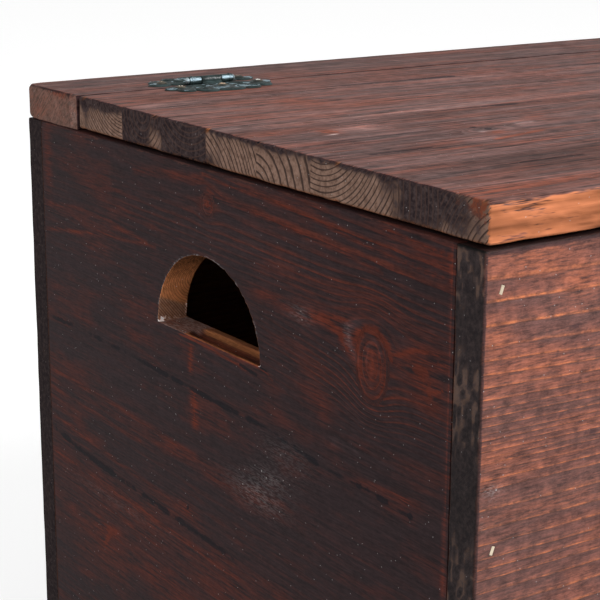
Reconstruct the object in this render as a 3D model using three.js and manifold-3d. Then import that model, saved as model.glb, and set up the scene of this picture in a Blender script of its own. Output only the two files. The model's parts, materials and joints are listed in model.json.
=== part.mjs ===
// A lidded kindling box of edge-glued softwood boards.
// Millimetres, +Z up. The origin is under the middle of the box, on the surface that it stands on.
// +X runs along the length of the box, and +Y runs from the front to the back.

import * as THREE from 'three';
import { mergeVertices } from 'three/addons/utils/BufferGeometryUtils.js';
import Module from 'manifold-3d';

const wasm = await Module();
wasm.setup();

// ---------------------------------------------------------------- driving dimensions

// Carcass
const boxLength = 600;
const boxDepth = 418;
const boxHeight = 400;
const endPanelThickness = 18;        // front and back panels, which cover the ends of the sides
const sidePanelThickness = 18;
const arris = 1;                     // radius of the exposed edges of the walls
const topArris = 2;                  // radius of the exposed edges of the lid and the rail
const arrisSteps = 3;

// How the glued boards share the height of each wall, from the top edge down.
const frontBoards = [98, 112, 84, 106];
const backBoards = [142, 124, 134];
const leftBoards = [122, 74, 104, 100];
const rightBoards = [128, 138, 134];

// Hand holes in the top boards of the sides
const holeWidth = 100;
const holeHeight = 45.5;
const holeSillBelowTop = 91.5;
const holeBehindMiddle = 6;
const fingerGrooveWidth = 12.4;      // hollow along the sill
const fingerGrooveDepth = 3.4;
const fingerGrooveFromFace = 1.6;    // from the outer face to the hollow
const fingerGrooveStop = 26;         // from the back end of the sill to the hollow
const curveSteps = 20;

// Floor
const cleatWidth = 20;
const cleatHeight = 20;
const cleatAboveGround = 4;
const floorThickness = 9;
const floorClearance = 0.5;          // between the floor and the four walls

// Lid and rear rail
const lidThickness = 18.8;
const lidRise = 1.6;                 // air under the closed lid
const railWidth = 61.4;
const seamWidth = 1.5;               // between the lid and the rail
const lidEndInset = 1.6;             // from the side faces to the ends of the lid
const lidStaves = [51, 43.5, 44, 46, 45.5, 62, 32, 31];   // how they share its depth, from the seam forwards

// Hinges
const hingeFromEnd = 90.4;           // from the end of the box to the middle of a hinge
const axisAboveLid = 2.95;
const knuckleRadius = 2.4;
const pinRadius = 1.2;
const pinClearance = 0.2;
const knuckleGap = 0.3;
const outerKnuckleLength = 8.2;
const middleKnuckleLength = 13.4;
const beadRadius = 0.6;              // rings turned on the outer knuckles
const beadFromEnd = 2.2;
const pinHeadRadius = 2;
const pinHeadLength = 1.5;
const leafThickness = 1.3;
const leafSpan = 74;                 // along the pin
const leafReach = 30;                // from the pin to the tip of a leaf
const leafToBarrel = 0.5;            // between the edge of a leaf and the barrel

// Fasteners
const screwShankRadius = 1.5;
const screwLength = 14;
const screwTipLength = 3;
const screwHeadRadius = 3.1;
const screwDome = 1;
const sideScrewAlong = 27;           // from the middle of the hinge to its outer screws
const sideScrewReach = 11;           // from the pin to the outer screws
const middleScrewReach = 14;         // from the pin to the middle screw
const bradRadius = 0.8;
const bradLength = 40;
const bradHeadLength = 4;
const bradHeadWidth = 1.7;
const bradHeadDepth = 1.2;
const bradSet = 0.2;                 // depth of a head below the face
const bradTurn = 20;                 // degrees that a head leans
const bradFromEnd = 9.8;             // from the end of the box
const firstBradBelowTop = 17.3;
const lastBradAboveGround = 37.7;
const bradsPerCorner = 4;
const seat = 0.3;                    // gap round a fastener in its hole

// ---------------------------------------------------------------- derived places

const left = -boxLength / 2;
const right = boxLength / 2;
const front = -boxDepth / 2;
const back = boxDepth / 2;
const innerLeft = left + sidePanelThickness;
const innerRight = right - sidePanelThickness;
const innerFront = front + endPanelThickness;
const innerBack = back - endPanelThickness;
const railFront = back - railWidth;
const lidBack = railFront - seamWidth;
const lidUnder = boxHeight + lidRise;
const lidTop = lidUnder + lidThickness;
const railTop = lidTop;
const hingeY = railFront - seamWidth / 2;
const hingeZ = lidTop + axisAboveLid;
const floorUnder = cleatAboveGround + cleatHeight;
const floorTop = floorUnder + floorThickness;
const bradPitch = (boxHeight - firstBradBelowTop - lastBradAboveGround) / (bradsPerCorner - 1);

// ---------------------------------------------------------------- finishes

const finish = (color, roughness, metalness = 0) => ({ color, roughness, metalness });
const darkStain = finish(0x38201b, 0.62);
const redStain = finish(0x8a4a2c, 0.55);
const lidStain = finish(0x6d3f33, 0.5);
const rawWood = finish(0xb98552, 0.7);
const darkIron = finish(0x2a3432, 0.45, 0.9);
const wornSteel = finish(0xb9c2c4, 0.3, 1);
const paleBrass = finish(0xb9a27c, 0.35, 1);

// ---------------------------------------------------------------- solids

// A closed mesh as a solid: only positions are kept, and vertices that coincide are merged.
function solidOf(geometry) {
  const bare = geometry.clone();
  for (const attribute of ['normal', 'uv']) bare.deleteAttribute(attribute);
  const merged = mergeVertices(bare, 1e-4);
  return new wasm.Manifold(new wasm.Mesh({
    numProp: 3,
    vertProperties: new Float32Array(merged.attributes.position.array),
    triVerts: new Uint32Array(merged.index.array),
  }));
}

function geometryOf(solid) {
  const mesh = solid.getMesh();
  const geometry = new THREE.BufferGeometry();
  geometry.setAttribute('position', new THREE.BufferAttribute(new Float32Array(mesh.vertProperties), 3));
  geometry.setIndex(new THREE.BufferAttribute(new Uint32Array(mesh.triVerts), 1));
  geometry.computeVertexNormals();
  return geometry;
}

const joined = (solids) => solids.reduce((whole, piece) => whole.add(piece));
const cutBy = (solid, tools) => tools.reduce((rest, tool) => rest.subtract(tool), solid);

// Which axes a section's two coordinates and its length lie along.
const sectionAxes = {
  x: [[0, 1, 0], [0, 0, 1], [1, 0, 0]],
  y: [[0, 0, 1], [1, 0, 0], [0, 1, 0]],
  z: [[1, 0, 0], [0, 1, 0], [0, 0, 1]],
};

// A section carried along an axis. Sections are drawn in (y, z) for x, (z, x) for y and (x, y) for z.
function extruded(axis, shape, from, to, steps = curveSteps) {
  const geometry = new THREE.ExtrudeGeometry(shape, { depth: to - from, bevelEnabled: false, curveSegments: steps });
  geometry.translate(0, 0, from);
  const [u, v, w] = sectionAxes[axis].map((direction) => new THREE.Vector3(...direction));
  return solidOf(geometry.applyMatrix4(new THREE.Matrix4().makeBasis(u, v, w)));
}

function rectangle(u0, v0, u1, v1, radius = 0) {
  const shape = new THREE.Shape();
  const r = Math.min(radius, (u1 - u0) / 2.01, (v1 - v0) / 2.01);
  if (r <= 0) {
    return shape.moveTo(u0, v0).lineTo(u1, v0).lineTo(u1, v1).lineTo(u0, v1).closePath();
  }
  const quarter = Math.PI / 2;
  shape.moveTo(u0 + r, v0);
  shape.absarc(u1 - r, v0 + r, r, -quarter, 0);
  shape.absarc(u1 - r, v1 - r, r, 0, quarter);
  shape.absarc(u0 + r, v1 - r, r, quarter, 2 * quarter);
  shape.absarc(u0 + r, v0 + r, r, 2 * quarter, 3 * quarter);
  return shape;
}

// A block between two corners, with the arrises that run along each named axis rounded.
function block(lo, hi, roundedAlong = '', roundness = arris) {
  const views = { x: [1, 2, 0], y: [2, 0, 1], z: [0, 1, 2] };
  const prism = (axis, radius) => {
    const [u, v, w] = views[axis];
    return extruded(axis, rectangle(lo[u], lo[v], hi[u], hi[v], radius), lo[w], hi[w], arrisSteps);
  };
  if (!roundedAlong) return prism('z', 0);
  return [...roundedAlong].map((axis) => prism(axis, roundness)).reduce((a, b) => a.intersect(b));
}

// The stretches that boards take up when they share a panel from one edge to the other.
function stretches(shares, start, end) {
  const whole = shares.reduce((sum, share) => sum + share);
  const joints = [start];
  let taken = 0;
  for (const share of shares) {
    taken += share;
    joints.push(start + (end - start) * (taken / whole));
  }
  return shares.map((_, index) => joints.slice(index, index + 2).sort((a, b) => a - b));
}

// A panel's blank sawn across one axis into its boards.
function sawn(lo, hi, roundedAlong, across, spans, roundness = arris) {
  const blank = block(lo, hi, roundedAlong, roundness);
  const past = 5;
  return spans.map(([from, to]) => {
    const low = lo.map((value) => value - past);
    const high = hi.map((value) => value + past);
    low[across] = from;
    high[across] = to;
    return blank.intersect(block(low, high));
  });
}

// A turned piece that stands along +Z: a profile of [radius, height] points that starts and ends on
// the axis, or closes on itself.
function turned(profile, sides) {
  const geometry = new THREE.LatheGeometry(profile.map(([r, h]) => new THREE.Vector2(r, h)), sides);
  return solidOf(geometry.rotateX(Math.PI / 2));
}
const laidAlongX = (solid) => solid.rotate([0, 90, 0]);

// A solid made about the origin, turned by degrees and then set at a place.
function placed(solid, [x, y, z], [turnX, turnY, turnZ] = [0, 0, 0]) {
  return solid.rotate([turnX, turnY, turnZ]).translate([x, y, z]);
}

// ---------------------------------------------------------------- fasteners

// A countersunk screw with a domed head. Its head's rim lies at height 0 and its point below.
// With a gap it is the hole that the screw sits in.
function screw(gap = 0, sides = 10) {
  const shank = screwShankRadius + gap;
  const head = screwHeadRadius + gap;
  const neck = screwHeadRadius - screwShankRadius;
  const tip = gap > 0 ? shank : 0.3;
  const above = gap > 0 ? gap + screwDome : 0;
  const profile = [[0, -screwLength - gap], [tip, -screwLength - gap], [shank, -screwLength + screwTipLength]];
  profile.push([shank, -neck - gap * 0.4], [head, above > 0 ? -gap * 0.4 : 0]);
  if (above > 0) profile.push([head, above], [0, above]);
  else profile.push([head * 0.72, screwDome * 0.7], [0, screwDome]);
  return turned(profile, sides);
}

// A brad with a bar head, its head's top at height 0 and its point below.
function brad(gap = 0) {
  const shank = turned([
    [0, -bradLength - gap], [bradRadius + gap, -bradLength - gap], [bradRadius + gap, -bradHeadDepth / 2], [0, -bradHeadDepth / 2],
  ], 6);
  const half = [bradHeadLength / 2 + gap, bradHeadWidth / 2 + gap];
  const top = gap > 0 ? gap + bradSet : 0;
  return shank.add(block([-half[0], -half[1], -bradHeadDepth - gap], [half[0], half[1], top]));
}

// ---------------------------------------------------------------- where the fasteners go

// Corner brads are driven through the front and back panels into the ends of the sides.
const cornerBrads = [];
for (const [panel, face, turnX] of [['front', front + bradSet, 90], ['back', back - bradSet, -90]]) {
  for (const [end, side] of [['left', -1], ['right', 1]]) {
    for (let row = 0; row < bradsPerCorner; row += 1) {
      const z = boxHeight - firstBradBelowTop - row * bradPitch;
      const x = side * (boxLength / 2 - bradFromEnd);
      cornerBrads.push({ name: `${panel}_${end}_brad_${row + 1}`, panel, end, place: [x, face, z], turn: [turnX, 0, 0] });
    }
  }
}
const cornerBrad = ({ place, turn }, gap) => placed(brad(gap).rotate([0, 0, 90 - bradTurn]), place, turn);

const hingeCentres = { left: left + hingeFromEnd, right: right - hingeFromEnd };
const leafScrewSpots = (reachSign) => [
  [-sideScrewAlong, reachSign * sideScrewReach],
  [0, reachSign * middleScrewReach],
  [sideScrewAlong, reachSign * sideScrewReach],
];
const hingeScrew = (centre, [along, reach], boardTop, gap) => placed(
  screw(gap),
  [centre + along, hingeY + reach, boardTop + leafThickness + seat / 2],
);
const hingeScrewHoles = (reachSign, boardTop) => Object.values(hingeCentres)
  .flatMap((centre) => leafScrewSpots(reachSign).map((spot) => hingeScrew(centre, spot, boardTop, seat)));

// ---------------------------------------------------------------- the model

const model = new THREE.Group();

function addPiece(name, solid, look) {
  const mesh = new THREE.Mesh(geometryOf(solid), new THREE.MeshStandardMaterial(look));
  mesh.name = name;
  model.add(mesh);
}

// Front and back panels: boards along X, stacked in height, drilled for the corner brads.
for (const [name, y0, y1, widths, look] of [
  ['front', front, innerFront, frontBoards, redStain],
  ['back', innerBack, back, backBoards, darkStain],
]) {
  const holes = cornerBrads.filter(({ panel }) => panel === name).map((spot) => cornerBrad(spot, seat));
  const spans = stretches(widths, boxHeight, 0);
  sawn([left, y0, 0], [right, y1, boxHeight], 'xz', 2, spans).forEach((board, index) => {
    addPiece(`${name}_board_${index + 1}`, cutBy(board, holes), look);
  });
}

// The opening of a hand hole: a half ellipse that stands on a flat sill.
const sillZ = boxHeight - holeSillBelowTop;
const holeY = holeBehindMiddle;
function handHole(from, to) {
  const shape = new THREE.Shape();
  shape.moveTo(holeY - holeWidth / 2, sillZ);
  shape.lineTo(holeY + holeWidth / 2, sillZ);
  shape.absellipse(holeY, sillZ, holeWidth / 2, holeHeight, 0, Math.PI);
  return extruded('x', shape, from, to);
}

// What is hollowed out of the sill for the fingers: a round trough along it with a ball end at the back.
function fingerGroove(faceX, inward) {
  const half = fingerGrooveWidth / 2;
  const radius = (half ** 2 + fingerGrooveDepth ** 2) / (2 * fingerGrooveDepth);
  const centreX = faceX + inward * (fingerGrooveFromFace + half);
  const centreZ = sillZ - fingerGrooveDepth + radius;
  const ballEnd = holeY + holeWidth / 2 - fingerGrooveStop - half;
  const start = holeY - holeWidth / 2;
  const sides = 24;
  const ball = wasm.Manifold.sphere(radius, sides).translate([centreX, ballEnd, centreZ]);
  const trough = wasm.Manifold.cylinder(ballEnd - start, radius, radius, sides)
    .rotate([-90, 0, 0])
    .translate([centreX, start, centreZ]);
  const belowSill = block([centreX - half * 2, start, sillZ - radius], [centreX + half * 2, ballEnd + half * 2, sillZ]);
  return joined([ball, trough]).intersect(belowSill);
}

// Side panels: boards along Y between the front and back panels. The top board has the hand hole.
for (const [name, x0, x1, widths] of [
  ['left', left, innerLeft, leftBoards],
  ['right', innerRight, right, rightBoards],
]) {
  const bradHoles = cornerBrads.filter(({ end }) => end === name).map((spot) => cornerBrad(spot, seat));
  const [outerFace, inward] = name === 'left' ? [x0, 1] : [x1, -1];
  const handCuts = [handHole(x0 - 5, x1 + 5), fingerGroove(outerFace, inward)];
  const spans = stretches(widths, boxHeight, 0);
  sawn([x0, innerFront, 0], [x1, innerBack, boxHeight], 'y', 2, spans).forEach((board, index) => {
    const cuts = index === 0 ? [...bradHoles, ...handCuts] : bradHoles;
    addPiece(`${name}_board_${index + 1}`, cutBy(board, cuts), darkStain);
  });
}

for (const spot of cornerBrads) addPiece(spot.name, cornerBrad(spot, 0), wornSteel);

// Cleats are glued low on the sides and carry the floor.
for (const [name, x0, x1] of [
  ['left_cleat', innerLeft, innerLeft + cleatWidth],
  ['right_cleat', innerRight - cleatWidth, innerRight],
]) {
  const lo = [x0, innerFront, cleatAboveGround];
  const hi = [x1, innerBack, cleatAboveGround + cleatHeight];
  addPiece(name, block(lo, hi, 'y'), rawWood);
}

// The floor is one sheet that drops in between the walls.
addPiece('floor_panel', block(
  [innerLeft + floorClearance, innerFront + floorClearance, floorUnder],
  [innerRight - floorClearance, innerBack - floorClearance, floorTop],
), rawWood);

// The rear rail is glued on the carcass and stands level with the closed lid.
{
  const rail = block([left, railFront, boxHeight], [right, back, railTop], 'xyz', topArris);
  addPiece('rear_rail', cutBy(rail, hingeScrewHoles(1, railTop)), lidStain);
}

// The lid is eight staves glued edge to edge.
{
  const lo = [left + lidEndInset, front, lidUnder];
  const hi = [right - lidEndInset, lidBack, lidTop];
  const holes = hingeScrewHoles(-1, lidTop);
  const spans = stretches(lidStaves, lidBack, front);
  sawn(lo, hi, 'xyz', 1, spans, topArris).forEach((stave, index) => {
    addPiece(`lid_stave_${index + 1}`, cutBy(stave, holes), lidStain);
  });
}

// ---------------------------------------------------------------- ornamental hinges

// One half of a leaf's outline, as [along, reach] from the middle of the barrel: curves through notches.
// Each curve is [control along, control reach, end along, end reach].
const barrelHalf = middleKnuckleLength / 2 + knuckleGap + outerKnuckleLength;
const leafEdge = knuckleRadius + leafToBarrel;
const halfSpan = leafSpan / 2;
const scallops = [
  [0.56, 0.14, 0.62, 0.21],
  [0.74, 0.05, 0.88, 0.17],
  [0.97, 0.23, 1.00, 0.33],
  [0.96, 0.44, 0.84, 0.47],
  [0.92, 0.66, 0.76, 0.77],
  [0.64, 0.82, 0.59, 0.68],
  [0.56, 0.93, 0.38, 0.97],
  [0.26, 0.96, 0.25, 0.83],
  [0.20, 1.00, 0.00, 1.00],
];

function leafOutline() {
  const shape = new THREE.Shape();
  const point = (along, reach, mirror) => [mirror * along * halfSpan, reach * leafReach];
  shape.moveTo(-barrelHalf, leafEdge);
  shape.lineTo(barrelHalf, leafEdge);
  for (const [cu, cv, u, v] of scallops) {
    shape.quadraticCurveTo(...point(cu, cv, 1), ...point(u, v, 1));
  }
  const ends = [[barrelHalf / halfSpan, leafEdge / leafReach], ...scallops.map(([, , u, v]) => [u, v])];
  for (let index = scallops.length - 1; index >= 0; index -= 1) {
    const [cu, cv] = scallops[index];
    shape.quadraticCurveTo(...point(cu, cv, -1), ...point(...ends[index], -1));
  }
  return shape;
}

// A pierced tear drop: round at its far end and pointed towards the barrel.
function tearDrop(along, reach, radius, length, turn) {
  const path = new THREE.Path();
  const steps = 9;
  for (let step = 0; step <= steps; step += 1) {
    const angle = Math.PI * (-0.15 + (1.3 * step) / steps);
    const [u, v] = [radius * Math.cos(angle), radius * Math.sin(angle)];
    const [x, y] = [u * Math.cos(turn) - v * Math.sin(turn), u * Math.sin(turn) + v * Math.cos(turn)];
    if (step === 0) path.moveTo(along + x, reach + y);
    else path.lineTo(along + x, reach + y);
  }
  path.lineTo(along + length * Math.sin(turn), reach - length * Math.cos(turn));
  path.closePath();
  return path;
}

// Piercings of one half of a leaf, placed and sized as shares of its half span and reach.
const piercings = [
  { along: 0.39, reach: 0.45, radius: 0.085, length: 0.21, turn: -0.9 },
  { along: 0.47, reach: 0.73, radius: 0.062, length: 0.18, turn: -0.5 },
  { along: 0.18, reach: 0.75, radius: 0.052, length: 0.15, turn: 0.35 },
].map(({ along, reach, radius, length, turn }) => ({
  along: along * halfSpan,
  reach: reach * leafReach,
  radius: radius * leafReach,
  length: length * leafReach,
  turn,
}));

// A leaf's plate above its board. reachSign is 1 for the rail's leaf and -1 for the lid's.
function leafPlate(reachSign, boardTop) {
  const shape = leafOutline();
  for (const { along, reach, radius, length, turn } of piercings) {
    shape.holes.push(tearDrop(along, reach, radius, length, turn));
    const mirrored = tearDrop(-along, reach, radius, length, -turn);
    shape.holes.push(mirrored);
  }
  const plate = extruded('z', shape, boardTop, boardTop + leafThickness, 5);
  return reachSign > 0 ? plate : plate.mirror([0, 1, 0]);
}

// A knuckle's section in (reach, height) from the pin: an eye rolled up from the leaf's plate.
function rolledEye(reachSign, boardTop) {
  const under = boardTop - hingeZ;
  const bore = pinRadius + pinClearance;
  const plateEnd = leafEdge + 2;
  const shape = new THREE.Shape();
  shape.moveTo(plateEnd, under);
  shape.lineTo(plateEnd, under + leafThickness);
  shape.lineTo(knuckleRadius + leafToBarrel * 0.4, under + leafThickness);
  shape.absarc(0, 0, knuckleRadius, -0.12 * Math.PI, 1.5 * Math.PI);
  shape.lineTo(knuckleRadius * 0.75, under);
  const eye = new THREE.Path();
  eye.absarc(0, 0, bore, 0, 2 * Math.PI, true);
  shape.holes.push(eye);
  return { shape, reachSign };
}

function knuckle(eye, from, to) {
  const solid = extruded('x', eye.shape, from, to, 10);
  return eye.reachSign > 0 ? solid : solid.mirror([0, 1, 0]);
}

// A ring round a knuckle: a half-round bead on the barrel.
function bead(at) {
  const inner = (pinRadius + pinClearance + knuckleRadius) / 2;
  const profile = [[inner, at - beadRadius]];
  const steps = 4;
  for (let step = 0; step <= steps; step += 1) {
    const angle = Math.PI * (step / steps) - Math.PI / 2;
    profile.push([knuckleRadius + beadRadius * 0.6 * Math.cos(angle), at + beadRadius * Math.sin(angle)]);
  }
  profile.push([inner, at + beadRadius], [inner, at - beadRadius]);
  return laidAlongX(turned(profile, 20));
}

// The pin: a rod with a dome at each end, along X.
function hingePin() {
  const half = barrelHalf + knuckleGap;
  const dome = [[pinHeadRadius, 0], [pinHeadRadius * 0.8, pinHeadLength * 0.7], [0, pinHeadLength]];
  const upper = [[pinRadius, half], ...dome.map(([r, h]) => [r, half + h])];
  const lower = upper.toReversed().map(([r, h]) => [r, -h]);
  return laidAlongX(turned([...lower, ...upper], 12));
}

for (const [name, centre] of Object.entries(hingeCentres)) {
  const middle = middleKnuckleLength / 2;
  const outerStart = middle + knuckleGap;
  const railEye = rolledEye(1, railTop);
  const lidEye = rolledEye(-1, lidTop);
  const setOnPin = (solid) => solid.translate([centre, hingeY, hingeZ]);
  const setOnBoard = (solid) => solid.translate([centre, hingeY, 0]);

  const railKnuckles = [-1, 1].map((side) => joined([
    knuckle(railEye, Math.min(side * outerStart, side * barrelHalf), Math.max(side * outerStart, side * barrelHalf)),
    bead(side * (barrelHalf - beadFromEnd)),
  ]));
  const railLeaf = joined([setOnBoard(leafPlate(1, railTop)), ...railKnuckles.map(setOnPin)]);
  const lidLeaf = joined([setOnBoard(leafPlate(-1, lidTop)), setOnPin(knuckle(lidEye, -middle, middle))]);

  const railSpots = leafScrewSpots(1);
  const lidSpots = leafScrewSpots(-1);
  const boreRadius = pinRadius + pinClearance;
  const bore = laidAlongX(turned([[0, -leafSpan], [boreRadius, -leafSpan], [boreRadius, leafSpan], [0, leafSpan]], 20));
  const railCuts = [setOnPin(bore), ...railSpots.map((spot) => hingeScrew(centre, spot, railTop, seat))];
  const lidCuts = [setOnPin(bore), ...lidSpots.map((spot) => hingeScrew(centre, spot, lidTop, seat))];

  addPiece(`${name}_hinge_rail_leaf`, cutBy(railLeaf, railCuts), darkIron);
  addPiece(`${name}_hinge_lid_leaf`, cutBy(lidLeaf, lidCuts), darkIron);
  addPiece(`${name}_hinge_pin`, setOnPin(hingePin()), wornSteel);
  railSpots.forEach((spot, index) => {
    addPiece(`${name}_hinge_rail_screw_${index + 1}`, hingeScrew(centre, spot, railTop, 0), paleBrass);
  });
  lidSpots.forEach((spot, index) => {
    addPiece(`${name}_hinge_lid_screw_${index + 1}`, hingeScrew(centre, spot, lidTop, 0), paleBrass);
  });
}

export default model;
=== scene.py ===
# %% [markdown]
# # A kindling box in stained softwood
# The real thing is a chest for a hearth: four walls glued up from narrow softwood boards, a lid glued up
# from staves, a fixed rail behind it, and two ornamental hinges. It was brushed with a dark red stain and
# then handled, so its edges are rubbed back to orange wood. The frame gives every piece its place, and this
# lesson gives it its surface.

# %% Load the frame
import json
import math
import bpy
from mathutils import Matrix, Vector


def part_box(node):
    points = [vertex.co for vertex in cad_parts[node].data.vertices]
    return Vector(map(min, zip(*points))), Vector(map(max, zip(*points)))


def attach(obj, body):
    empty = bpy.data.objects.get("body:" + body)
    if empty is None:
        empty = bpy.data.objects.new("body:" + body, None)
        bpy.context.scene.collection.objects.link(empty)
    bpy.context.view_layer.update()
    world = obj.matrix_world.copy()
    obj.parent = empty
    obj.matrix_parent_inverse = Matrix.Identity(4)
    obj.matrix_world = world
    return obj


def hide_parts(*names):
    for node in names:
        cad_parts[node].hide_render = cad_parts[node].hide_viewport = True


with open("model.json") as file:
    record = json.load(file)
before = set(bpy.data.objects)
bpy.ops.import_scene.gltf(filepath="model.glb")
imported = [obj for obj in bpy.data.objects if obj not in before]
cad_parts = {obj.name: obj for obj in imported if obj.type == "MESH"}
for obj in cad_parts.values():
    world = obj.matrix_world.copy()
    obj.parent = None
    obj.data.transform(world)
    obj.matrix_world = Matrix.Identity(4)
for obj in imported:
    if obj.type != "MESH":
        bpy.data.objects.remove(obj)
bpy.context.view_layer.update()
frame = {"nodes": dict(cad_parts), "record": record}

from types import SimpleNamespace

import bpy
import numpy as np
from mathutils import Matrix, Vector
from mathutils.geometry import delaunay_2d_cdt

mm = 0.001

# %% [markdown]
# ## Sizes from the frame
# Nothing is measured twice. The walls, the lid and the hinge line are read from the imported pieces, and a
# few names are kept for the faces that later cells refer to.

# %% Faces and lines of the box


def corners(*nodes):
    """Lowest and highest corner of one node or of several taken together."""
    boxes = [np.array(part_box(node), dtype=float) for node in nodes]
    return np.min([low for low, _ in boxes], axis=0), np.max([high for _, high in boxes], axis=0)


def numbered(stem):
    """The nodes whose names are the stem and a number, in the order of their numbers."""
    found = [name for name in frame["nodes"] if name.startswith(stem) and name[len(stem):].isdigit()]
    return sorted(found, key=lambda name: int(name[len(stem):]))


front_low, front_high = corners(*numbered("front_board_"))
back_low, back_high = corners(*numbered("back_board_"))
left_low, left_high = corners(*numbered("left_board_"))
right_low, right_high = corners(*numbered("right_board_"))
lid_low, lid_high = corners(*numbered("lid_stave_"))
rail_low, rail_high = corners("rear_rail")
box_front, box_back = front_low[1], back_high[1]
box_left, box_right = front_low[0], front_high[0]
box_top = front_high[2]
hinge_line = Vector(frame["record"]["behaviour"]["joints"][0]["pos_m"])
print("walls", round(box_right - box_left, 3), "x", round(box_back - box_front, 3), "x", round(box_top, 3))

# %% [markdown]
# ## The eye
# The photograph was taken from the left front corner, a little above the lid, with a long lens. These
# values were found by fitting a camera to the straight edges of the box.

# %% Camera
eye_place = Vector((-731.2, -698.9, 554.6)) * mm
eye_azimuth = math.radians(34.806)      # from +Y towards +X
eye_dip = math.radians(15.109)
eye_roll = math.radians(0.290)
sensor_width = 36.0
lens_length = 99.49

ahead = Vector((
    math.sin(eye_azimuth) * math.cos(eye_dip),
    math.cos(eye_azimuth) * math.cos(eye_dip),
    -math.sin(eye_dip),
))
level_right = Vector((math.cos(eye_azimuth), -math.sin(eye_azimuth), 0))
level_up = level_right.cross(ahead)
camera_right = level_right * math.cos(eye_roll) + level_up * math.sin(eye_roll)
camera_up = level_up * math.cos(eye_roll) - level_right * math.sin(eye_roll)
camera = bpy.data.objects.new("camera", bpy.data.cameras.new("camera"))
camera.data.lens, camera.data.sensor_width = lens_length, sensor_width
camera.data.clip_start, camera.data.clip_end = 0.01, 50
turn = Matrix((camera_right, camera_up, -ahead)).transposed().to_4x4()
camera.matrix_world = Matrix.Translation(eye_place) @ turn
bpy.context.collection.objects.link(camera)
bpy.context.scene.camera = camera
bpy.context.scene.view_settings.view_transform = "Standard"

# %% [markdown]
# ## Small tools for node materials
# A material is a chain of nodes. A number on its way through the chain is wrapped, so that a sum written
# with it makes the nodes for that sum. A few short helpers ease, blend and scatter such numbers.

# %% Node helpers


class Flow:
    """A number or colour on its way through a node tree. Sums written with it become nodes."""

    def __init__(self, socket):
        self.socket = socket
        self.tree = socket.id_data

    def __add__(self, other):
        return calc("ADD", self, other)

    def __sub__(self, other):
        return calc("SUBTRACT", self, other)

    def __rsub__(self, other):
        return calc("SUBTRACT", other, self)

    def __mul__(self, other):
        return calc("MULTIPLY", self, other)


def feed(socket, value):
    """Links a socket to a flow, or sets it to a plain value. A plain colour gets its fourth number here."""
    if isinstance(value, Flow):
        value.tree.links.new(value.socket, socket)
    elif socket.type == "RGBA":
        socket.default_value = (*value, 1)
    else:
        socket.default_value = value


def add_node(tree, kind, sockets, **settings):
    """Makes a node, sets its options, and feeds the named or numbered sockets."""
    made = tree.nodes.new(kind)
    for key, value in settings.items():
        setattr(made, key, value)
    for key, value in sockets.items():
        feed(made.inputs[key], value)
    return made


def flow_of(tree, kind, sockets, output=0, **settings):
    """What one output of a new node gives."""
    return Flow(add_node(tree, kind, sockets, **settings).outputs[output])


def calc(operation, *values):
    """One step of arithmetic."""
    tree = next(value.tree for value in values if isinstance(value, Flow))
    return flow_of(tree, "ShaderNodeMath", dict(enumerate(values)), operation=operation)


def clamped(flow):
    """The same number, kept between 0 and 1 by the node that makes it."""
    flow.socket.node.use_clamp = True
    return flow


def ease(value, start, end):
    """Runs from 0 to 1 in an S-curve as the value goes from start to end."""
    sockets = {"Value": value, "From Min": start, "From Max": end}
    return flow_of(value.tree, "ShaderNodeMapRange", sockets, interpolation_type="SMOOTHSTEP")


def mixed(amount, first, second):
    """Two colours blended by an amount."""
    return flow_of(amount.tree, "ShaderNodeMix", {0: amount, 6: first, 7: second}, 2, data_type="RGBA")


def toned(colour, level):
    """A colour made brighter or darker by a number."""
    grey = flow_of(level.tree, "ShaderNodeCombineColor", {0: level, 1: level, 2: level})
    sockets = {0: 1.0, 6: colour, 7: grey}
    return flow_of(level.tree, "ShaderNodeMix", sockets, 2, data_type="RGBA", blend_type="MULTIPLY")


def scale_of(value, stops):
    """A colour read off a scale of (position, colour) stops."""
    node = add_node(value.tree, "ShaderNodeValToRGB", {0: value})
    ramp = node.color_ramp
    while len(ramp.elements) < len(stops):
        ramp.elements.new(0.5)
    for element, (position, colour) in zip(ramp.elements, stops):
        element.position = position
        element.color = (*colour, 1)
    return Flow(node.outputs[0])


def noise_of(vector, scale, detail=3.0, roughness=0.55):
    """Cloudy noise from 0 to 1 on a vector."""
    sockets = {"Vector": vector, "Scale": scale, "Detail": detail, "Roughness": roughness}
    return flow_of(vector.tree, "ShaderNodeTexNoise", sockets, "Fac")


def parts_of(vector):
    """The three numbers of a vector."""
    return [Flow(output) for output in add_node(vector.tree, "ShaderNodeSeparateXYZ", {0: vector}).outputs]


def three_of(tree, attribute_name):
    """The three numbers that a mesh carries under a name."""
    return parts_of(flow_of(tree, "ShaderNodeAttribute", {}, "Vector", attribute_name=attribute_name))


def stretched(parts, scales):
    """A vector put together from three numbers, each with its own scale."""
    scaled = {axis: part * scale for axis, (part, scale) in enumerate(zip(parts, scales))}
    return flow_of(parts[0].tree, "ShaderNodeCombineXYZ", scaled)


def bumped(height, strength, distance):
    """A surface tilted by its height."""
    sockets = {"Strength": strength, "Distance": distance, "Height": height}
    return flow_of(height.tree, "ShaderNodeBump", sockets)


def new_material(name, specular=0.5):
    """An empty node material: the material itself, its tree and its shader."""
    made = bpy.data.materials.new(name)
    made.use_nodes = True
    shader = made.node_tree.nodes["Principled BSDF"]
    shader.inputs["Specular IOR Level"].default_value = specular
    return made, made.node_tree, shader


# %% [markdown]
# ## Stained wood as one recipe
# Wood is a stack of yearly rings, so the mesh of every board carries its ring count. The recipe turns the
# part after the decimal point into a stripe: the soft early wood has drunk the stain and is dark, and the
# hard late wood ends in a thin bright line. Fibres, blotches, rubbed edges and dust lie over it. Where the
# saw cut across the grain the ring lines are dark on a paler ground, and where it cut after staining the
# wood is bare.

# %% Wood recipe


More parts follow.
